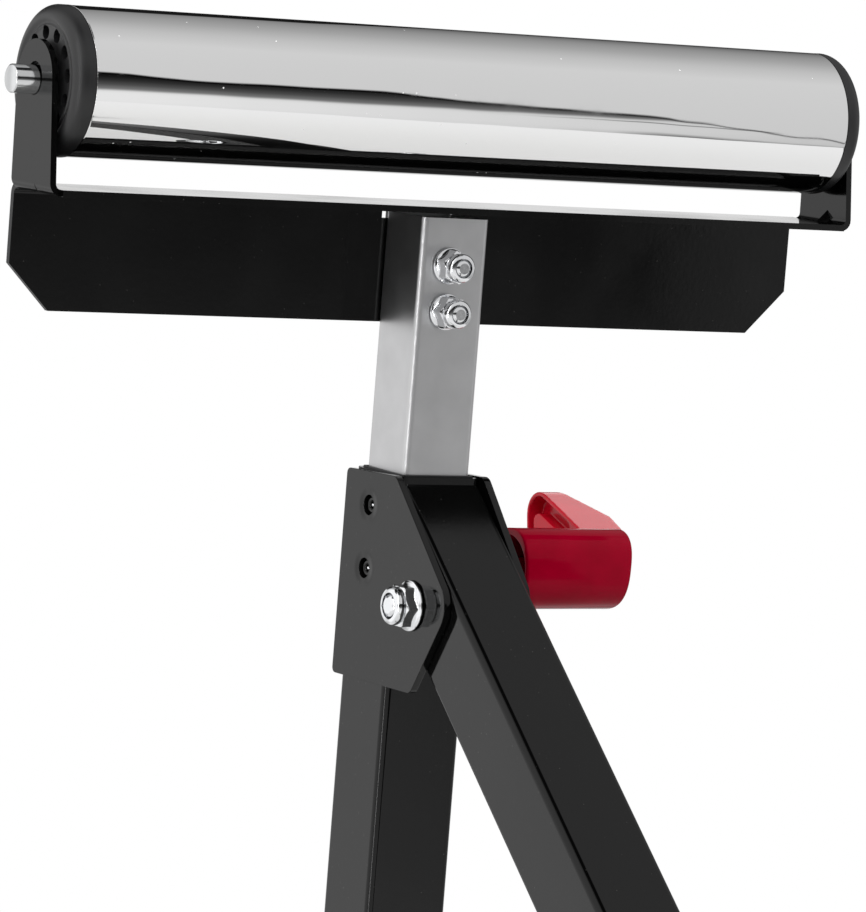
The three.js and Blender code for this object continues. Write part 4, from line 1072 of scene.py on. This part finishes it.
# %% Lever lamp
behind = clamp_point + Vector((0.61, 0.74, 0.71))
sheen = area_lamp("lever_sheen", width=0.9, height=0.4, power=2.6, place=behind, target=clamp_point)
sheen.visible_diffuse = False
wing_only = bpy.data.collections.new("wing_only")
wing_only.objects.link(wing)
sheen.light_linking.receiver_collection = wing_only
print("sheen lamp", round((sheen.location - clamp_point).length, 2), "m from the lever")

# %% [markdown]
# The column and the leg stand on their cross tubes in short fillet welds, and the clamp's nut is
# welded to its plate. A weld is a row of overlapping drops, so a node tree sets a drop at even steps
# along any path.

# %% Welds
DROP_LEAST, DROP_MOST = 0.88, 1.08
weld, given = new_tree("weld_bead", Step="Float", Drop="Float")
path = build(weld, "MeshToCurve", Mesh=given["Geometry"])
steps = build(weld, "ResampleCurve", {"mode": "LENGTH"}, Curve=path, Length=given["Step"])
drop = build(weld, "MeshUVSphere", Segments=12, Rings=8, Radius=given["Drop"])
uneven = add_node(weld, "FunctionNodeRandomValue", {2: DROP_LEAST, 3: DROP_MOST, "Seed": 7}).outputs[1]
drops = build(weld, "InstanceOnPoints", Points=steps, Instance=drop, Scale=uneven)
real = build(weld, "RealizeInstances", Geometry=drops)
end_tree(weld, given, build(weld, "SetShadeSmooth", Geometry=real))


def lay_bead(name, body, points, step, drop_radius):
    mesh = bpy.data.meshes.new(name)
    mesh.from_pydata(points, [(i, i + 1) for i in range(len(points) - 1)], [])
    piece = new_object(name, mesh)
    set_inputs(piece, weld, {"Step": step * MM, "Drop": drop_radius * MM, "Material": black_coat})
    add_on(settle(piece), body)


FOOT_WELD_SIDE, FOOT_WELD_HALF, FOOT_WELD_RISE = 18.4, 11, 0.2
NUT_WELD_FACE, NUT_WELD_RADIUS, NUT_WELD_POINTS = 22.0, 9.6, 40
for foot, body in (("column_foot", "column"), ("leg_foot", "leg")):
    low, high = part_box(foot)
    middle = (low + high) / 2
    for side, x in (("right", FOOT_WELD_SIDE), ("left", -FOOT_WELD_SIDE)):
        ends = [Vector((x * MM, middle.y + y * MM, high.z + FOOT_WELD_RISE * MM))
                for y in (-FOOT_WELD_HALF, FOOT_WELD_HALF)]
        lay_bead("weld_" + foot + "_" + side, body, ends, step=1.3, drop_radius=1.9)
nut_ring = []
for a in round_angles(NUT_WELD_POINTS) + [2 * math.pi]:
    spot = Vector((NUT_WELD_FACE, NUT_WELD_RADIUS * math.cos(a), NUT_WELD_RADIUS * math.sin(a)))
    nut_ring.append(clamp_frame @ spot)
lay_bead("weld_clamp_nut", "column", nut_ring, step=1.2, drop_radius=1.5)
print("welds laid")
